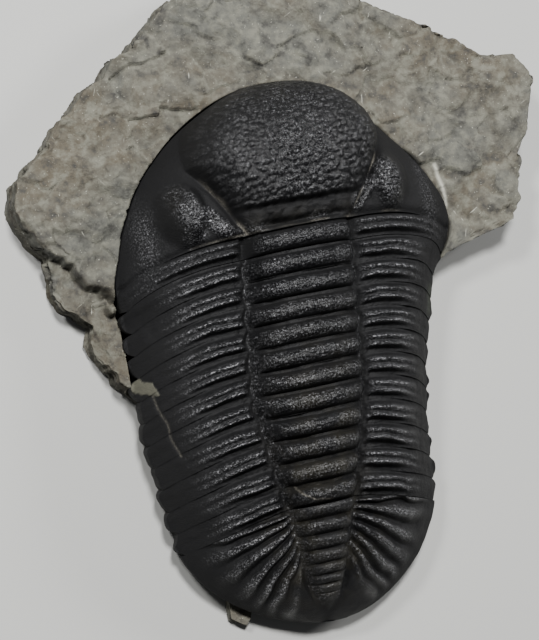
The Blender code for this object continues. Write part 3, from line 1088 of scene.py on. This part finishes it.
@dataclass(frozen=True)
class Glabella:
    """The swollen middle of the head, narrow at the neck and wide in front, covered in knobs."""

    rear: float = 23.5
    peak_y: float = 40.0
    height: float = 45.5
    rear_fall: float = 5.5
    front_height: float = 20.0
    front_y: float = 61.0
    rear_width: float = 13.5
    flare: float = 0.62
    widest_y: float = 44.0
    widest: float = 25.0
    side_power: float = 4.2
    side_root: float = 0.85
    least: float = 0.1
    start: Step = Step(22.9, 24.4)
    neck_grooves: tuple[tuple[float, Bell], ...] = (
        (2.4, Bell(24.5, 0.9)), (2.4, Bell(28.8, 0.9)), (1.7, Bell(26.6, 1.6)))
    side_node: float = 1.3
    node_across: Bell = Bell(7.0, 2.0)
    node_along: Bell = Bell(26.8, 1.3)
    neck_knobs: Grit = Grit(2.3, 19, 0.6)
    neck_knob_height: float = 0.8
    neck_end: Step = Step(31.0, 29.5)
    knobbed: Step = Step(29.2, 30.6)
    knob_edge: Step = Step(0.02, 0.3)
    knob_growth: Step = Step(54.0, 38.0)
    knob_heights: tuple[float, float] = (0.4, 0.7)
    knob_stretch: float = 1.03
    knobs: Grit = Grit(1.62, 11, 0.6)
    grains: Grit = Grit(0.9, 13)
    grain_height: float = 0.12
    furrow: Bell = Bell(0.0, 1.2)
    furrow_depth: float = 1.5
    furrow_rear: Step = Step(22.5, 24.0)
    furrow_front: Step = Step(46.0, 36.0)
    seam: Bell = Bell(-0.2, 0.3)
    seam_fronts: tuple[Step, Step] = (Step(40.0, 34.0), Step(47.0, 38.0))
    samples: int = 400

    def crest(self, y: Array) -> Array:
        """Height along the middle.

        Args:
            y: Positions along.

        Returns:
            Heights, which fall in a quarter round to the front.
        """
        back = limit((self.peak_y - y) / (self.peak_y - self.rear))
        run = limit((y - self.peak_y) / (self.front_y - self.peak_y))
        front = self.front_height + (self.height - self.front_height) * np.sqrt(1 - run ** 2)
        return np.where(y < self.peak_y, self.height - self.rear_fall * back ** 2, front)

    def half_width(self, y: Array) -> Array:
        """Half the width: a flare that ends in a round front.

        Args:
            y: Positions along.

        Returns:
            Millimetres from the middle line to the furrow.
        """
        flare = self.rear_width + self.flare * (y - self.rear)
        run = limit((y - self.widest_y) / (self.front_y - self.widest_y))
        return np.maximum(np.minimum(flare, self.widest * np.sqrt(1 - run ** 2)), self.least)

    def along_crest(self, y: Array) -> Array:
        """The way over the curved crest, so that knobs keep their size down the front.

        Args:
            y: Positions along.

        Returns:
            Millimetres from the glabella's rear.
        """
        lines = np.linspace(self.rear, self.front_y, self.samples)
        steps = np.hypot(np.diff(lines), np.diff(self.crest(lines)))
        return np.interp(y, lines, np.concatenate([[0], np.cumsum(steps)]))

    def neck(self, x: Array, y: Array) -> Array:
        """Crest with the grooves and nodes of the neck behind the lobe.

        Args:
            x: Positions across.
            y: Positions along.

        Returns:
            Heights.
        """
        crest = self.crest(y)
        for depth, line in self.neck_grooves:
            crest = crest - depth * line.at(y)
        crest = crest + self.side_node * self.node_across.at(np.abs(x)) * self.node_along.at(y)
        return crest + self.neck_knob_height * self.neck_knobs.at(x, y) * self.neck_end.at(y)

    def raised(self, x: Array, y: Array, z: Array) -> tuple[Array, Array, Array, Array]:
        """Swell the glabella out of the cheeks.

        Args:
            x: Positions across.
            y: Positions along.
            z: Heights of the even form.

        Returns:
            New heights, how much of each point is on the glabella, how much in its furrow, and how
            high each stands on a knob.
        """
        width = self.half_width(y)
        share = np.abs(x) / width
        past_side = (share - 1.0) * width
        swell = (1 - limit(share) ** self.side_power) ** self.side_root * self.start.at(y)
        body = z + (self.neck(x, y) - z) * swell
        lobe = self.knobbed.at(y) * swell
        along = self.along_crest(y)
        knob = self.knobs.at(x * self.knob_stretch, along)
        heights = mix(*self.knob_heights, self.knob_growth.at(y)) * knob
        heights = heights + self.grain_height * self.grains.at(x, along)
        body = body + heights * self.knob_edge.at(lobe)
        furrow = self.furrow.at(past_side) * self.furrow_rear.at(y) * self.furrow_front.at(y)
        left, right = self.seam_fronts
        seam = self.seam.at(past_side) * self.furrow_rear.at(y) * np.where(x < 0, left.at(y), right.at(y))
        return body - self.furrow_depth * furrow, lobe, seam, knob * lobe


def near_any(x: Array, y: Array, lines: Sequence[Line], width: float) -> Array:
    """How near each position is to the nearest of several lines."""
    return np.maximum.reduce([near_line(x, y, line, width) for line in lines])


@dataclass(frozen=True)
class Eyes:
    """The two eyes: soft swellings with a slit above and a rough lid."""

    across: tuple[float, float] = (28.6, 25.4)
    along: float = 31.0
    size: tuple[float, float] = (6.2, 8.6)
    height: float = 38.0
    inset: float = 0.3
    reach: tuple[float, float] = (1.3, 0.85)
    swell: Step = Step(1.02, 0.3)
    slit: float = -0.92
    slit_bend: float = 0.55
    slit_width: float = 0.2
    slit_depth: float = 0.7
    slit_end: Step = Step(1.0, 0.5)
    lid: Bell = Bell(-0.3, 0.38)
    lid_height: float = 0.6
    lid_end: Step = Step(0.95, 0.5)
    rough_lines: tuple[Line, ...] = (
        ((-28.8, 35.6), (-27.9, 30.9), (-26.4, 25.6)), ((23.0, 33.6), (23.6, 29.6), (24.9, 26.2)))
    rough_width: float = 3.6
    rough_edge: Step = Step(0.25, 0.75)
    knobs: Grit = Grit(1.25, 17, 0.58)
    knob_height: float = 0.45

    def raised(self, x: Array, y: Array, z: Array) -> tuple[Array, Array]:
        """Raise the eyes out of the cheeks.

        Args:
            x: Positions across.
            y: Positions along.
            z: Heights before the eyes.

        Returns:
            New heights, and how much of each point is on a rough eyelid.
        """
        off_x = (np.abs(x) - np.where(x < 0, *self.across)) / self.size[0]
        off_y = (y - self.along) / self.size[1]
        from_lid = off_x + self.inset
        outer, inner = self.reach
        gone = np.hypot(np.where(from_lid > 0, from_lid / outer, from_lid / inner), off_y)
        body = z + np.maximum(0, self.height - z) * self.swell.at(gone)
        slit = bump(off_x, self.slit + self.slit_bend * off_y ** 2, self.slit_width)
        body = body + self.lid_height * self.lid.at(off_x) * self.lid_end.at(np.abs(off_y))
        body = body - self.slit_depth * slit * self.slit_end.at(np.abs(off_y))
        rough = self.rough_edge.at(near_any(x, y, self.rough_lines, self.rough_width))
        return body + self.knob_height * self.knobs.at(x, y) * rough, rough


@dataclass
class HeadShield(Sclerite):
    """Cephalon: neck ring and border, cheeks with their eyes, and the knobbed glabella."""

    columns: int = 360
    rows: int = 250
    glabella: Glabella = Glabella()
    eyes: Eyes = Eyes()
    border_share: float = 0.14
    border_limit: float = 0.45
    border_band: float = 0.9
    ring_offset: float = 0.02
    border_spread: float = 0.8
    front_crowding: float = 1.1
    narrowing_power: float = 4.0
    neck_axis_y: float = 22.0
    path_series: float = 3.0
    rear_furrow: Bell = Bell(0.0, 1.4)
    rear_furrow_depth: float = 1.5
    patches: tuple[Line, ...] = (
        ((-23.0, 30.2), (-21.0, 27.6), (-18.4, 25.0)), ((15.2, 26.2), (16.6, 28.0), (18.6, 30.2)))
    patch_width: float = 2.3
    patch_edge: Step = Step(0.25, 0.75)
    patch_height: float = 0.9
    nodes: tuple[Line, ...] = (((-14.7, 24.2), (-10.7, 23.6)), ((3.4, 24.0), (5.6, 24.1)))
    node_width: float = 1.4
    node_height: float = 1.3
    cheek_across: Bell = Bell(37.0, 2.5)
    cheek_along: Bell = Bell(27.0, 11.0)
    grit: Grit = Grit(0.85, 23)
    skin: Waver = Waver(0.16, 3.2, 33, 2)
    dust: Waver = Waver(1.0, 4.0, 5)
    dusty: Step = Step(-0.5, 0.3)
    dust_line: Bell = Bell(0.5, 0.24)
    dust_end: Step = Step(0.5, 0.3)
    brown_line: Bell = Bell(25.5, 2.5)
    brown_end: Step = Step(16.0, 12.0)
    rim_dull: Step = Step(1.0, 0.9)
    ring_grit: float = 0.2
    border_grit: float = 0.1
    rough_grit: float = 0.4
    least_grit: float = 0.04
    lobe_smoothness: float = 0.6
    lobe_shine: float = 0.1
    knob_shine: float = 0.7
    patch_shine: float = 1.5
    rough_wear_and_sheen: tuple[float, float] = (0.3, 1.2)
    cheek_shine: float = 0.7
    border_shine: float = 1.7
    least_polish: float = 0.15
    seam_dust: float = 0.9
    rear_dust: float = 0.5
    brown_share: float = 0.1
    border_lip: float = 1.5

    def pivot_y(self) -> float:
        """The wall draws in from the front and the sides."""
        return self.plan.head_y

    def outline(self, u: Array, v: Array) -> tuple[Array, Array, Array, Array]:
        """Plan of the head, with rows crowded into its rear border and its steep front.

        Args:
            u: Shares across.
            v: Shares along.

        Returns:
            Positions across and along, millimetres in front of the border, and shares of the way
            over the border.
        """
        plan = self.plan
        side = 2 * u - 1
        x = plan.head_half_width * plan.side_trim * (side + np.sin(np.pi / 2 * side)) / 2
        rear = plan.edge_y(x, plan.first_segment_y + (plan.pitch + plan.gap) / 2)
        front_run = plan.end_run(x, plan.head_half_width, plan.head_run_power)
        front = plan.head_y + plan.head_length * front_run
        border = np.minimum(plan.pitch - plan.gap, self.border_limit * (front - rear))
        ahead = limit((v - self.border_share) / (1 - self.border_share))
        along = limit(v / self.border_share)
        crowded = np.sin(np.pi / 2 * ahead) ** self.front_crowding
        y = rear + border * along + (front - rear - border) * crowded
        narrowing = 1 - plan.half_width(np.minimum(y, plan.head_y)) / plan.head_half_width
        x = x * (1 - narrowing * (x / plan.head_half_width) ** self.narrowing_power)
        return x, y, y - rear - border, along

    def surface(self, u: Array, v: Array) -> Surface:
        """The whole head.

        Args:
            u: Shares across.
            v: Shares along.

        Returns:
            Body points and the marks that they carry.
        """
        plan = self.plan
        x, y, ahead, along = self.outline(u, v)
        share = plan.flank_share(x, y)
        axis = plan.axis_half_width(np.minimum(y, self.neck_axis_y))
        off_axis = np.abs(x) - axis
        beyond = np.maximum(0, ahead)
        behind = beyond <= 0
        body, lobe, seam, knob = self.glabella.raised(x, y, plan.even_height(x, y))
        body, lids = self.eyes.raised(x, y, body)
        along = along * self.border_band
        ring = self.ring.relief(along + self.ring_offset, x, axis)
        ring = ring + self.wrinkles.at(spots(x, y * self.wander, self.path_series))
        ridge, ridge_crest = self.pleura.relief(along, share * self.border_spread, off_axis)
        band = np.where(off_axis < 0, ring, ridge) - self.axial_depth * self.axial_furrow.at(off_axis)
        groove = self.rear_furrow_depth * self.rear_furrow.at(beyond) * (1 - lobe)
        z = np.where(behind, plan.even_height(x, y) + band, body - groove)
        patch = self.patch_edge.at(near_any(x, y, self.patches, self.patch_width)) * (1 - lobe)
        node = near_any(x, y, self.nodes, self.node_width)
        cheek = self.cheek_across.at(np.abs(x)) * self.cheek_along.at(y)
        on_ring = np.where(behind & (off_axis < 0), self.ring.top.at(band), 0.0)
        grit = self.grit.at(x, y)
        rough = self.rough_grit * limit(patch + cheek + node) + self.least_grit
        z = z + grit * (self.ring_grit * on_ring + self.border_grit * behind + rough)
        z = z + self.patch_height * patch + self.node_height * node
        here = spots(x, y, z)
        z = z + self.skin.at(here) * (1 - self.lobe_smoothness * lobe)
        dust = self.rear_dust * self.dust_line.at(ahead) * self.dust_end.at(share)
        least, most = self.rough_wear_and_sheen
        polished = limit(lobe + lids + on_ring + patch + node)
        marks = {
            # crest: where the painted highlight goes, on glabella knobs, eyelids, patches, nodes, cheek,
            # ring and border ridges.
            "crest": np.maximum.reduce([
                self.lobe_shine * lobe + self.knob_shine * knob,
                (lids + self.patch_shine * patch + node) * (least + most * grit),
                self.wear_and_painted_highlight(on_ring, grit), self.cheek_shine * cheek,
                self.border_shine * ridge_crest * behind]),
            "polish": limit(mix(self.least_polish, 1.0, polished)) * self.rim_dull.at(share),
            "residue": self.dusty.at(self.dust.at(here)) * limit(self.seam_dust * seam + dust),
            "brown": self.brown_share * self.brown_line.at(y) * self.brown_end.at(np.abs(x)),
        }
        return x, y, np.maximum(z, plan.margin_height(y) - self.border_lip * behind), marks


@dataclass
class TailShield(Sclerite):
    """Pygidium: fused rings and ribs that die out before a smooth rim."""

    columns: int = 300
    rows: int = 200
    axis_end: float = -73.5
    axis_rounding: float = 8.0
    ring_lines: tuple[float, ...] = (-44.6, -48.8, -52.8, -56.6, -60.2, -63.2, -65.6, -68.0, -70.6)
    ring_depth: float = 2.4
    ring_power: float = 2.2
    ring_end: Step = Step(-72.0, -69.0)
    ring_side: Step = Step(-0.2, 2.0)
    ring_top: Step = Step(-1.2, -0.2)
    rib_angles: tuple[float, ...] = (6.0, 12.5, 24.0, 36.0, 47.0, 56.0, 64.0, 72.0)
    rib_centre: float = 0.8
    rib_waver: Waver = Waver(2.2, 7.0, 97, 2)
    rib_wavers: Step = Step(0.0, 0.3)
    rib_depth: float = 2.6
    rib_power: float = 1.6
    rib_fade: Step = Step(0.92, 0.5)
    rib_fan: Step = Step(74.0, 56.0)
    rib_start: Step = Step(0.0, 1.5)
    rib_groove: Bell = Bell(0.5, 0.08)
    rib_groove_depth: float = 0.3
    axial_furrow: Bell = Bell(0.0, 1.4)
    axial_depth: float = 3.2
    furrow_end: Step = Step(-75.0, -64.0)
    grit: Grit = Grit(0.85, 91)
    skin: Waver = Waver(0.16, 3.0, 93, 2)
    dull_furrow: Bell = Bell(0.0, 1.3)
    polished: Step = Step(1.0, 0.5)
    brown_line: Bell = Bell(0.0, 7.0)
    brown_end: Step = Step(-74.0, -66.0)
    rim_fall: float = 1.3
    ring_grit: float = 0.18
    rib_grit: float = 0.1
    rib_shine: float = 2.5
    shine_power: int = 3
    least_polish: float = 0.35
    brown_share: float = 0.25

    def pivot_y(self) -> float:
        """The wall draws in from the rear and the sides."""
        return self.plan.tail_y

    def outline(self, u: Array, v: Array) -> tuple[Array, Array]:
        """Plan of the tail.

        Args:
            u: Shares across.
            v: Shares along.

        Returns:
            Positions across and along.
        """
        plan = self.plan
        front_line = plan.first_segment_y - plan.pitch * (plan.segment_count - 0.5) - plan.gap / 2
        widest = float(plan.half_width(plan.swept_y(np.array([front_line]), np.ones(1)))[0])
        x = widest * plan.side_trim * np.sin(np.pi * (u - 0.5))
        front = plan.edge_y(x, front_line)
        rear = plan.tail_y - plan.tail_length * plan.end_run(x, plan.tail_half_width, plan.tail_run_power)
        return x, rear + (front - rear) * v

    def ribs(self, x: Array, y: Array, share: Array) -> tuple[Array, Array, Array]:
        """The fan of ribs beside the axis.

        Args:
            x: Positions across.
            y: Positions along.
            share: Shares of the flank.

        Returns:
            Heights, how far each point is up a rib, and how much of the ribs is left towards the rim.
        """
        angle = np.degrees(np.arctan2(self.plan.tail_y + self.rib_centre - y, np.abs(x)))
        angle = angle + self.rib_waver.at(spots(x, y)) * self.rib_wavers.at(share)
        across = np.interp(angle, self.rib_angles, np.arange(len(self.rib_angles))) % 1
        fade = self.rib_fade.at(share) * self.rib_fan.at(angle)
        raised = np.sin(np.pi * across) ** self.rib_power
        grooved = self.rib_groove_depth * self.rib_groove.at(across)
        return -(self.rib_depth * (1 - raised) + grooved) * fade, raised, fade

    def rings(self, x: Array, y: Array, axis: Array) -> Array:
        """The fused rings of the axis.

        Args:
            x: Positions across.
            y: Positions along.
            axis: Half the width of the axis at each position.

        Returns:
            Heights.
        """
        count = np.interp(-y, -np.array(self.ring_lines), np.arange(len(self.ring_lines)))
        groove = (2 * np.abs(0.5 - count % 1)) ** self.ring_power
        side = limit(axis / self.axis_rounding) * self.ring_side.at(axis - np.abs(x))
        return -self.ring_depth * groove * self.ring_end.at(y) * side

    def surface(self, u: Array, v: Array) -> Surface:
        """The whole tail.

        Args:
            u: Shares across.
            v: Shares along.

        Returns:
            Body points and the marks that they carry.
        """
        plan = self.plan
        x, y = self.outline(u, v)
        share = plan.flank_share(x, y)
        axis = plan.axis_half_width(y) * np.sqrt(limit((y - self.axis_end) / self.axis_rounding))
        off_axis = np.abs(x) - axis
        on_axis = off_axis < 0
        ring = self.rings(x, y, axis)
        rib, raised, fade = self.ribs(x, y, share)
        z = plan.even_height(x, y) + np.where(on_axis, ring, rib * self.rib_start.at(off_axis))
        z = z - self.axial_depth * self.axial_furrow.at(off_axis) * self.furrow_end.at(y)
        grit = self.grit.at(x, y)
        on_ring = self.ring_top.at(ring) * self.ring_end.at(y)
        z = z + grit * np.where(on_axis, self.ring_grit * on_ring, self.rib_grit * fade)
        z = z + self.skin.at(spots(x, y, z)) + self.swollen(x, y, share)
        ridge = self.rib_shine * raised ** self.shine_power * fade
        polished = (1 - self.dull_furrow.at(off_axis)) * mix(self.least_polish, 1.0, raised)
        marks = {
            # crest: where the painted highlight goes, on ring tops and rib crests.
            "crest": np.where(on_axis, self.wear_and_painted_highlight(on_ring, grit), ridge),
            "polish": self.polished.at(share) * polished,
            "brown": self.brown_share * self.brown_line.at(off_axis) * self.brown_end.at(y),
        }
        return x, y, np.maximum(z, plan.margin_height(y) - self.rim_fall), marks


# The stone

@dataclass
class Limestone:
    """The stone: a slab round the head with a bench at the left, running on under the rear."""

    plan: BodyPlan
    centre: tuple[float, float] = (2.0, 20.0)
    spokes: int = 720
    floor_rows: int = 5
    wall_rows: int = 6
    top_rows: int = 66
    side_rows: int = 34
    under_rows: int = 4
    outline: Line = (
        (-41, -13), (-45.5, -7), (-49, -3), (-48.5, 3.5), (-55.5, 8.5), (-58, 13), (-58.5, 21.5),
        (-63, 25.5), (-67, 34), (-66, 40), (-61.5, 45), (-57.5, 48.5), (-53, 55.5), (-46.5, 61.5),
        (-42, 65), (-38.5, 70), (-34.5, 72), (-28.5, 78.5), (-22.5, 84.5), (-13, 90), (2, 91.5),
        (14, 87.5), (24, 83), (37.5, 77), (48.5, 71.5), (54, 68), (60, 66), (67.5, 66.5), (72, 60),
        (70.5, 53), (69, 45), (65, 33.5), (66, 28), (64, 23.5), (57.5, 20.5), (47, 17))
    outline_step: float = 0.5
    hidden_ends: Line = ((42.0, 11.0), (-38.5, -20.5))
    rear_inset: float = 4.2
    pocket_gap: float = 0.45
    floor_height: float = 2.66
    top_height: float = 16.0
    top_slope: float = 0.045
    relief: float = 2.2
    relief_size: float = 9.0
    bench_drop: float = 6.5
    ledge: Line = ((-66.0, 31.5), (-44.0, 9.5))
    ledge_waver: Waver = Waver(1.6, 5.0, 61, 3)
    ledge_width: Step = Step(0.0, 2.0)
    tip_rise: float = 5.0
    tip_along: Step = Step(6.0, -8.0)
    tip_across: Step = Step(-49.0, -42.0)
    warps: tuple[Waver, Waver] = (Waver(1.2, 4.0, 51), Waver(1.2, 4.0, 52))
    face_stretch: tuple[float, float, float] = (1.0, 1.4, 1.0)
    top_faces: Faces = Faces(9.0, 41, 1.0, 0.7)
    top_chips: Faces = Faces(3.2, 47, 0.25, 0.5)
    skin: Waver = Waver(0.16, 1.8, 58, 3)
    rim_waver: Waver = Waver(0.72, 3.5, 71, 3)
    side_stretch: float = 2.2
    side_faces: Faces = Faces(5.0, 81, 0.66)
    beds: Waver = Waver(0.6, 4.0, 85, 2)
    bed_stretch: tuple[float, float, float] = (0.15, 0.15, 1.6)
    side_inset: float = 0.3
    side_power: int = 6
    rounding: float = 0.28
    rounded_share: float = 0.12
    fragment_turn: float = -1.76
    fragment_waver: Waver = Waver(0.01, 3.0, 75, 2)
    fragment_edge: Step = Step(0.05, 0.02)
    fragment_reach: float = 7.3
    fragment_inset: float = 2.6
    fragment_height: float = 4.4
    fragment_least: float = 0.05
    vein: Line = ((43.2, 38.6), (44.6, 33.3), (45.8, 28.0))
    vein_width: float = 0.45
    crack: Line = ((-50.5, 8.6), (-49.0, 3.4), (-47.0, -0.5))
    crack_width: float = 0.3
    weld: float = 0.01
    sharp: float = 180.0

    def turn_to(self, points: Array) -> Array:
        """The direction from the centre to each row of two."""
        return np.arctan2(points[:, 1] - self.centre[1], points[:, 0] - self.centre[0])

    def polar(self, points: Array, turn: Array) -> Array:
        """Distance from the centre to a closed outline.

        Args:
            points: The outline, one row of two for each point.
            turn: Directions.

        Returns:
            Distances in each direction.
        """
        angle = self.turn_to(points)
        order = np.argsort(angle)
        reach = np.linalg.norm(points - np.array(self.centre), axis=1)
        return np.interp(turn, angle[order], reach[order], period=2 * np.pi)

    def rim_points(self) -> Array:
        """The stone's outline, filled in with the line under the animal's rear.

        Returns:
            Closed outline, one row of two for each point.
        """
        under = self.plan.margin_line(-self.rear_inset)
        angle = self.turn_to(under)
        first, last = self.turn_to(np.array(self.hidden_ends))
        fine = []
        points = np.array(self.outline, dtype=float)
        for start, end in zip(points, points[1:]):
            count = max(2, int(np.linalg.norm(end - start) / self.outline_step))
            fine.append(start + (end - start) * np.linspace(0, 1, count, endpoint=False)[:, None])
        return np.concatenate([*fine, points[-1:], under[(angle < first) & (angle > last)]])

    def bench_share(self, x: Array, y: Array) -> Array:
        """0 on the upper slab, 1 on the bench below it.

        Args:
            x: Positions across.
            y: Positions along.

        Returns:
            Shares that cross over along the ragged ledge.
        """
        (ax, ay), (bx, by) = self.ledge
        beyond = ((x - ax) * (by - ay) - (y - ay) * (bx - ax)) / math.hypot(bx - ax, by - ay)
        return self.ledge_width.at(beyond + self.ledge_waver.at(spots(x, y)))

    def top(self, x: Array, y: Array) -> tuple[Array, Array]:
        """The upper side.

        Args:
            x: Positions across.
            y: Positions along.

        Returns:
            Heights, and how near each point is to a broken edge.
        """
        rolling = np.array([noise.noise((a, b, 0.0)) for a, b in
                            zip((x / self.relief_size).tolist(), (y / self.relief_size).tolist())])
        here = spots(x, y)
        warped = here + spots(*[waver.at(here) for waver in self.warps])
        faces, face_edge = self.top_faces.at(warped * np.array(self.face_stretch))
        chips, chip_edge = self.top_chips.at(warped)
        height = self.top_height + self.top_slope * y + self.relief * rolling
        height -= self.bench_drop * self.bench_share(x, y)
        height += self.tip_rise * self.tip_along.at(y) * self.tip_across.at(x)
        return height + faces + chips + self.skin.at(here), limit(face_edge + chip_edge)

    def broken_side(self, x: Array, y: Array, z: Array, down: Array) -> tuple[Array, Array]:
        """The broken side below the rim.

        Args:
            x: Positions across.
            y: Positions along.
            z: Heights of the rim.
            down: Shares of the way down.

        Returns:
            Millimetres that each point stands out, and how near it is to a broken edge.
        """
        side = spots(x, y, z * (1 - down) * self.side_stretch)
        lumps, edge = self.side_faces.at(side)
        rough = lumps + self.beds.at(side * np.array(self.bed_stretch)) - self.side_inset
        middle = 1 - limit(np.abs(2 * down - 1)) ** self.side_power
        return middle * rough - self.rounding * (1 - limit(down / self.rounded_share)) ** 2, edge

    def build(self, material: bpy.types.Material) -> bpy.types.Object:
        """Lay a polar grid: pocket floor, pocket wall, top, broken side and underside.

        Args:
            material: The stone's finish.

        Returns:
            The finished stone.
        """
        counts = (self.floor_rows, self.wall_rows, self.top_rows, self.side_rows, self.under_rows)
        bm, u, v = laid_grid(self.spokes, sum(counts))
        turn = -np.pi + 2 * np.pi * u
        row = np.round(v * sum(counts))
        starts = np.cumsum([0, *counts])
        floor, wall, out, down, under = [limit((row - start) / count)
                                         for start, count in zip(starts, counts)]
        on_side, on_under = row > starts[3], row > starts[4]
        pocket = self.polar(self.plan.margin_line(self.pocket_gap), turn)
        rim = self.polar(self.rim_points(), turn)
        heading_x, heading_y = np.cos(turn), np.sin(turn)
        around = spots(heading_x * rim, heading_y * rim)
        rim = rim + self.rim_waver.at(around) * (rim > pocket)
        off_fragment = np.abs(turn - self.fragment_turn) + self.fragment_waver.at(around)
        fragment = self.fragment_edge.at(off_fragment)
        rim = rim + self.fragment_reach * fragment
        pocket = pocket - self.fragment_inset * fragment
        shown = rim > pocket
        inner = np.minimum(pocket, rim)
        reach = inner * floor + (rim - inner) * out
        x = self.centre[0] + reach * heading_x
        y = self.centre[1] + reach * heading_y
        height, edge = self.top(x, y)
        height = np.where(fragment > self.fragment_least, self.fragment_height, height)
        z = mix(self.floor_height, height, np.where(shown, wall, 0.0))
        push, side_edge = self.broken_side(x, y, z, down)
        push = np.where(on_side & shown, push, 0.0)
        x = mix(x + push * heading_x, self.centre[0], under * on_under)
        y = mix(y + push * heading_y, self.centre[1], under * on_under)
        z = np.where(on_side, z * (1 - down), z)
        move_all(bm, spots(x + self.plan.place[0], y + self.plan.place[1], z) * MM)
        marks = {
            "vein": near_line(x, y, self.vein, self.vein_width),
            # Where the crack's painted shade goes on the top.
            "crack": near_line(x, y, self.crack, self.crack_width) * (row < starts[3]),
            "edge": np.where(on_side, side_edge, edge),
        }
        layers = {name: bm.verts.layers.float.new(name) for name in marks}
        for name, layer in layers.items():
            for vert, value in zip(bm.verts, marks[name].tolist()):
                vert[layer] = value
        bmesh.ops.remove_doubles(bm, verts=bm.verts, dist=self.weld * MM)
        piece = publish(bm, "limestone_matrix", material, None, self.sharp)
        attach(piece, "root")
        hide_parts("matrix")
        return piece


# The view

class Lamp(Enum):
    """Soft lamps: place in metres, width in metres, power in watts."""

    OVERHEAD = ((-0.12, 0.28, 1.00), 0.14, 24.0)
    WINDOW = ((-0.50, 0.44, 0.95), 0.16, 13.0)
    FILL = ((0.86, 0.36, 0.68), 0.3, 11.0)


@dataclass
class Studio:
    """Pale floor, soft lamps and the photograph's camera; millimetres, degrees and pixels."""

    plan: BodyPlan
    target: tuple[float, float, float] = (0.0, 0.0, 26.0)
    distance: float = 620.0
    lean_x: float = 15.5
    lean_y: float = 3.0
    roll: float = 5.0
    pixels_per_mm: float = 4.0
    picture: tuple[int, int] = (539, 640)
    target_pixel: tuple[float, float] = (296.0, 322.0)
    sensor: float = 36.0
    nearest: float = 10.0
    floor_half_width: float = 2000.0
    sky: Hex = "#e2e4e8"
    sky_strength: float = 0.15

    def facing(self) -> tuple[Vector, Vector, Vector]:
        """Which way the camera is turned.

        Returns:
            Directions to its right, up, and back from the fossil.
        """
        back = Vector((-math.sin(math.radians(self.lean_x)), -math.sin(math.radians(self.lean_y)), 0))
        back.z = math.sqrt(1 - back.length_squared)
        up = Vector((0, 1, 0))
        up = (up - back * up.dot(back)).normalized()
        right = up.cross(back)
        along, across = math.cos(math.radians(self.roll)), math.sin(math.radians(self.roll))
        return right * along - up * across, up * along + right * across, back

    def camera(self) -> None:
        """Place the camera where the photograph was taken from."""
        lens = bpy.data.cameras.new("photograph")
        lens.sensor_fit = "VERTICAL"
        lens.sensor_height = self.sensor
        width, height = self.picture
        lens.lens = self.distance * self.pixels_per_mm / height * self.sensor
        lens.shift_x = (width / 2 - self.target_pixel[0]) / height
        lens.shift_y = (self.target_pixel[1] - height / 2) / height
        lens.clip_start = self.nearest * MM
        made = bpy.data.objects.new("photograph", lens)
        right, up, back = self.facing()
        place = Vector((*self.plan.place, 0)) + Vector(self.target) + back * self.distance
        made.matrix_world = Matrix.Translation(place * MM) @ Matrix((right, up, back)).transposed().to_4x4()
        bpy.context.scene.collection.objects.link(made)
        bpy.context.scene.camera = made

    def lamps(self) -> None:
        """Hang the soft lamps, each turned to the fossil."""
        for lamp in Lamp:
            place, width, power = lamp.value
            light = bpy.data.lights.new(lamp.name.lower(), "AREA")
            light.shape = "DISK"
            light.size = width
            light.energy = power
            made = bpy.data.objects.new(lamp.name.lower(), light)
            made.location = place
            made.rotation_euler = Vector(place).to_track_quat("Z", "Y").to_euler()
            bpy.context.scene.collection.objects.link(made)

    def surroundings(self) -> None:
        """Floor and an even sky."""
        bm = bmesh.new()
        bmesh.ops.create_grid(bm, x_segments=1, y_segments=1, size=self.floor_half_width * MM)
        publish(bm, "floor", FloorFinish().material())
        world = bpy.data.worlds.new("room")
        world.use_nodes = True
        sky = world.node_tree.nodes["Background"]
        sky.inputs["Color"].default_value = colour(self.sky)
        sky.inputs["Strength"].default_value = self.sky_strength
        bpy.context.scene.world = world

    def build(self) -> None:
        """Set up the whole view."""
        self.surroundings()
        self.lamps()
        self.camera()


def main() -> None:
    """Build every plate of the shell and the stone, then the view."""
    plan = BodyPlan()
    shell = ShellFinish().material()
    segments = [ThoracicSegment(plan, f"thoracic_segment_{number:02d}", number=number)
                for number in range(1, plan.segment_count + 1)]
    plates: list[Sclerite] = [HeadShield(plan, "cephalon"), *segments, TailShield(plan, "pygidium")]
    made = [plate.build(shell) for plate in plates]
    made.append(Limestone(plan).build(LimestoneFinish().material()))
    for piece in made:
        LOG.info("%s: %d faces", piece.name, len(piece.data.polygons))
    Studio(plan).build()


if __name__ == "__main__":
    logging.basicConfig(level=logging.INFO, format="%(name)s %(message)s")
    main()
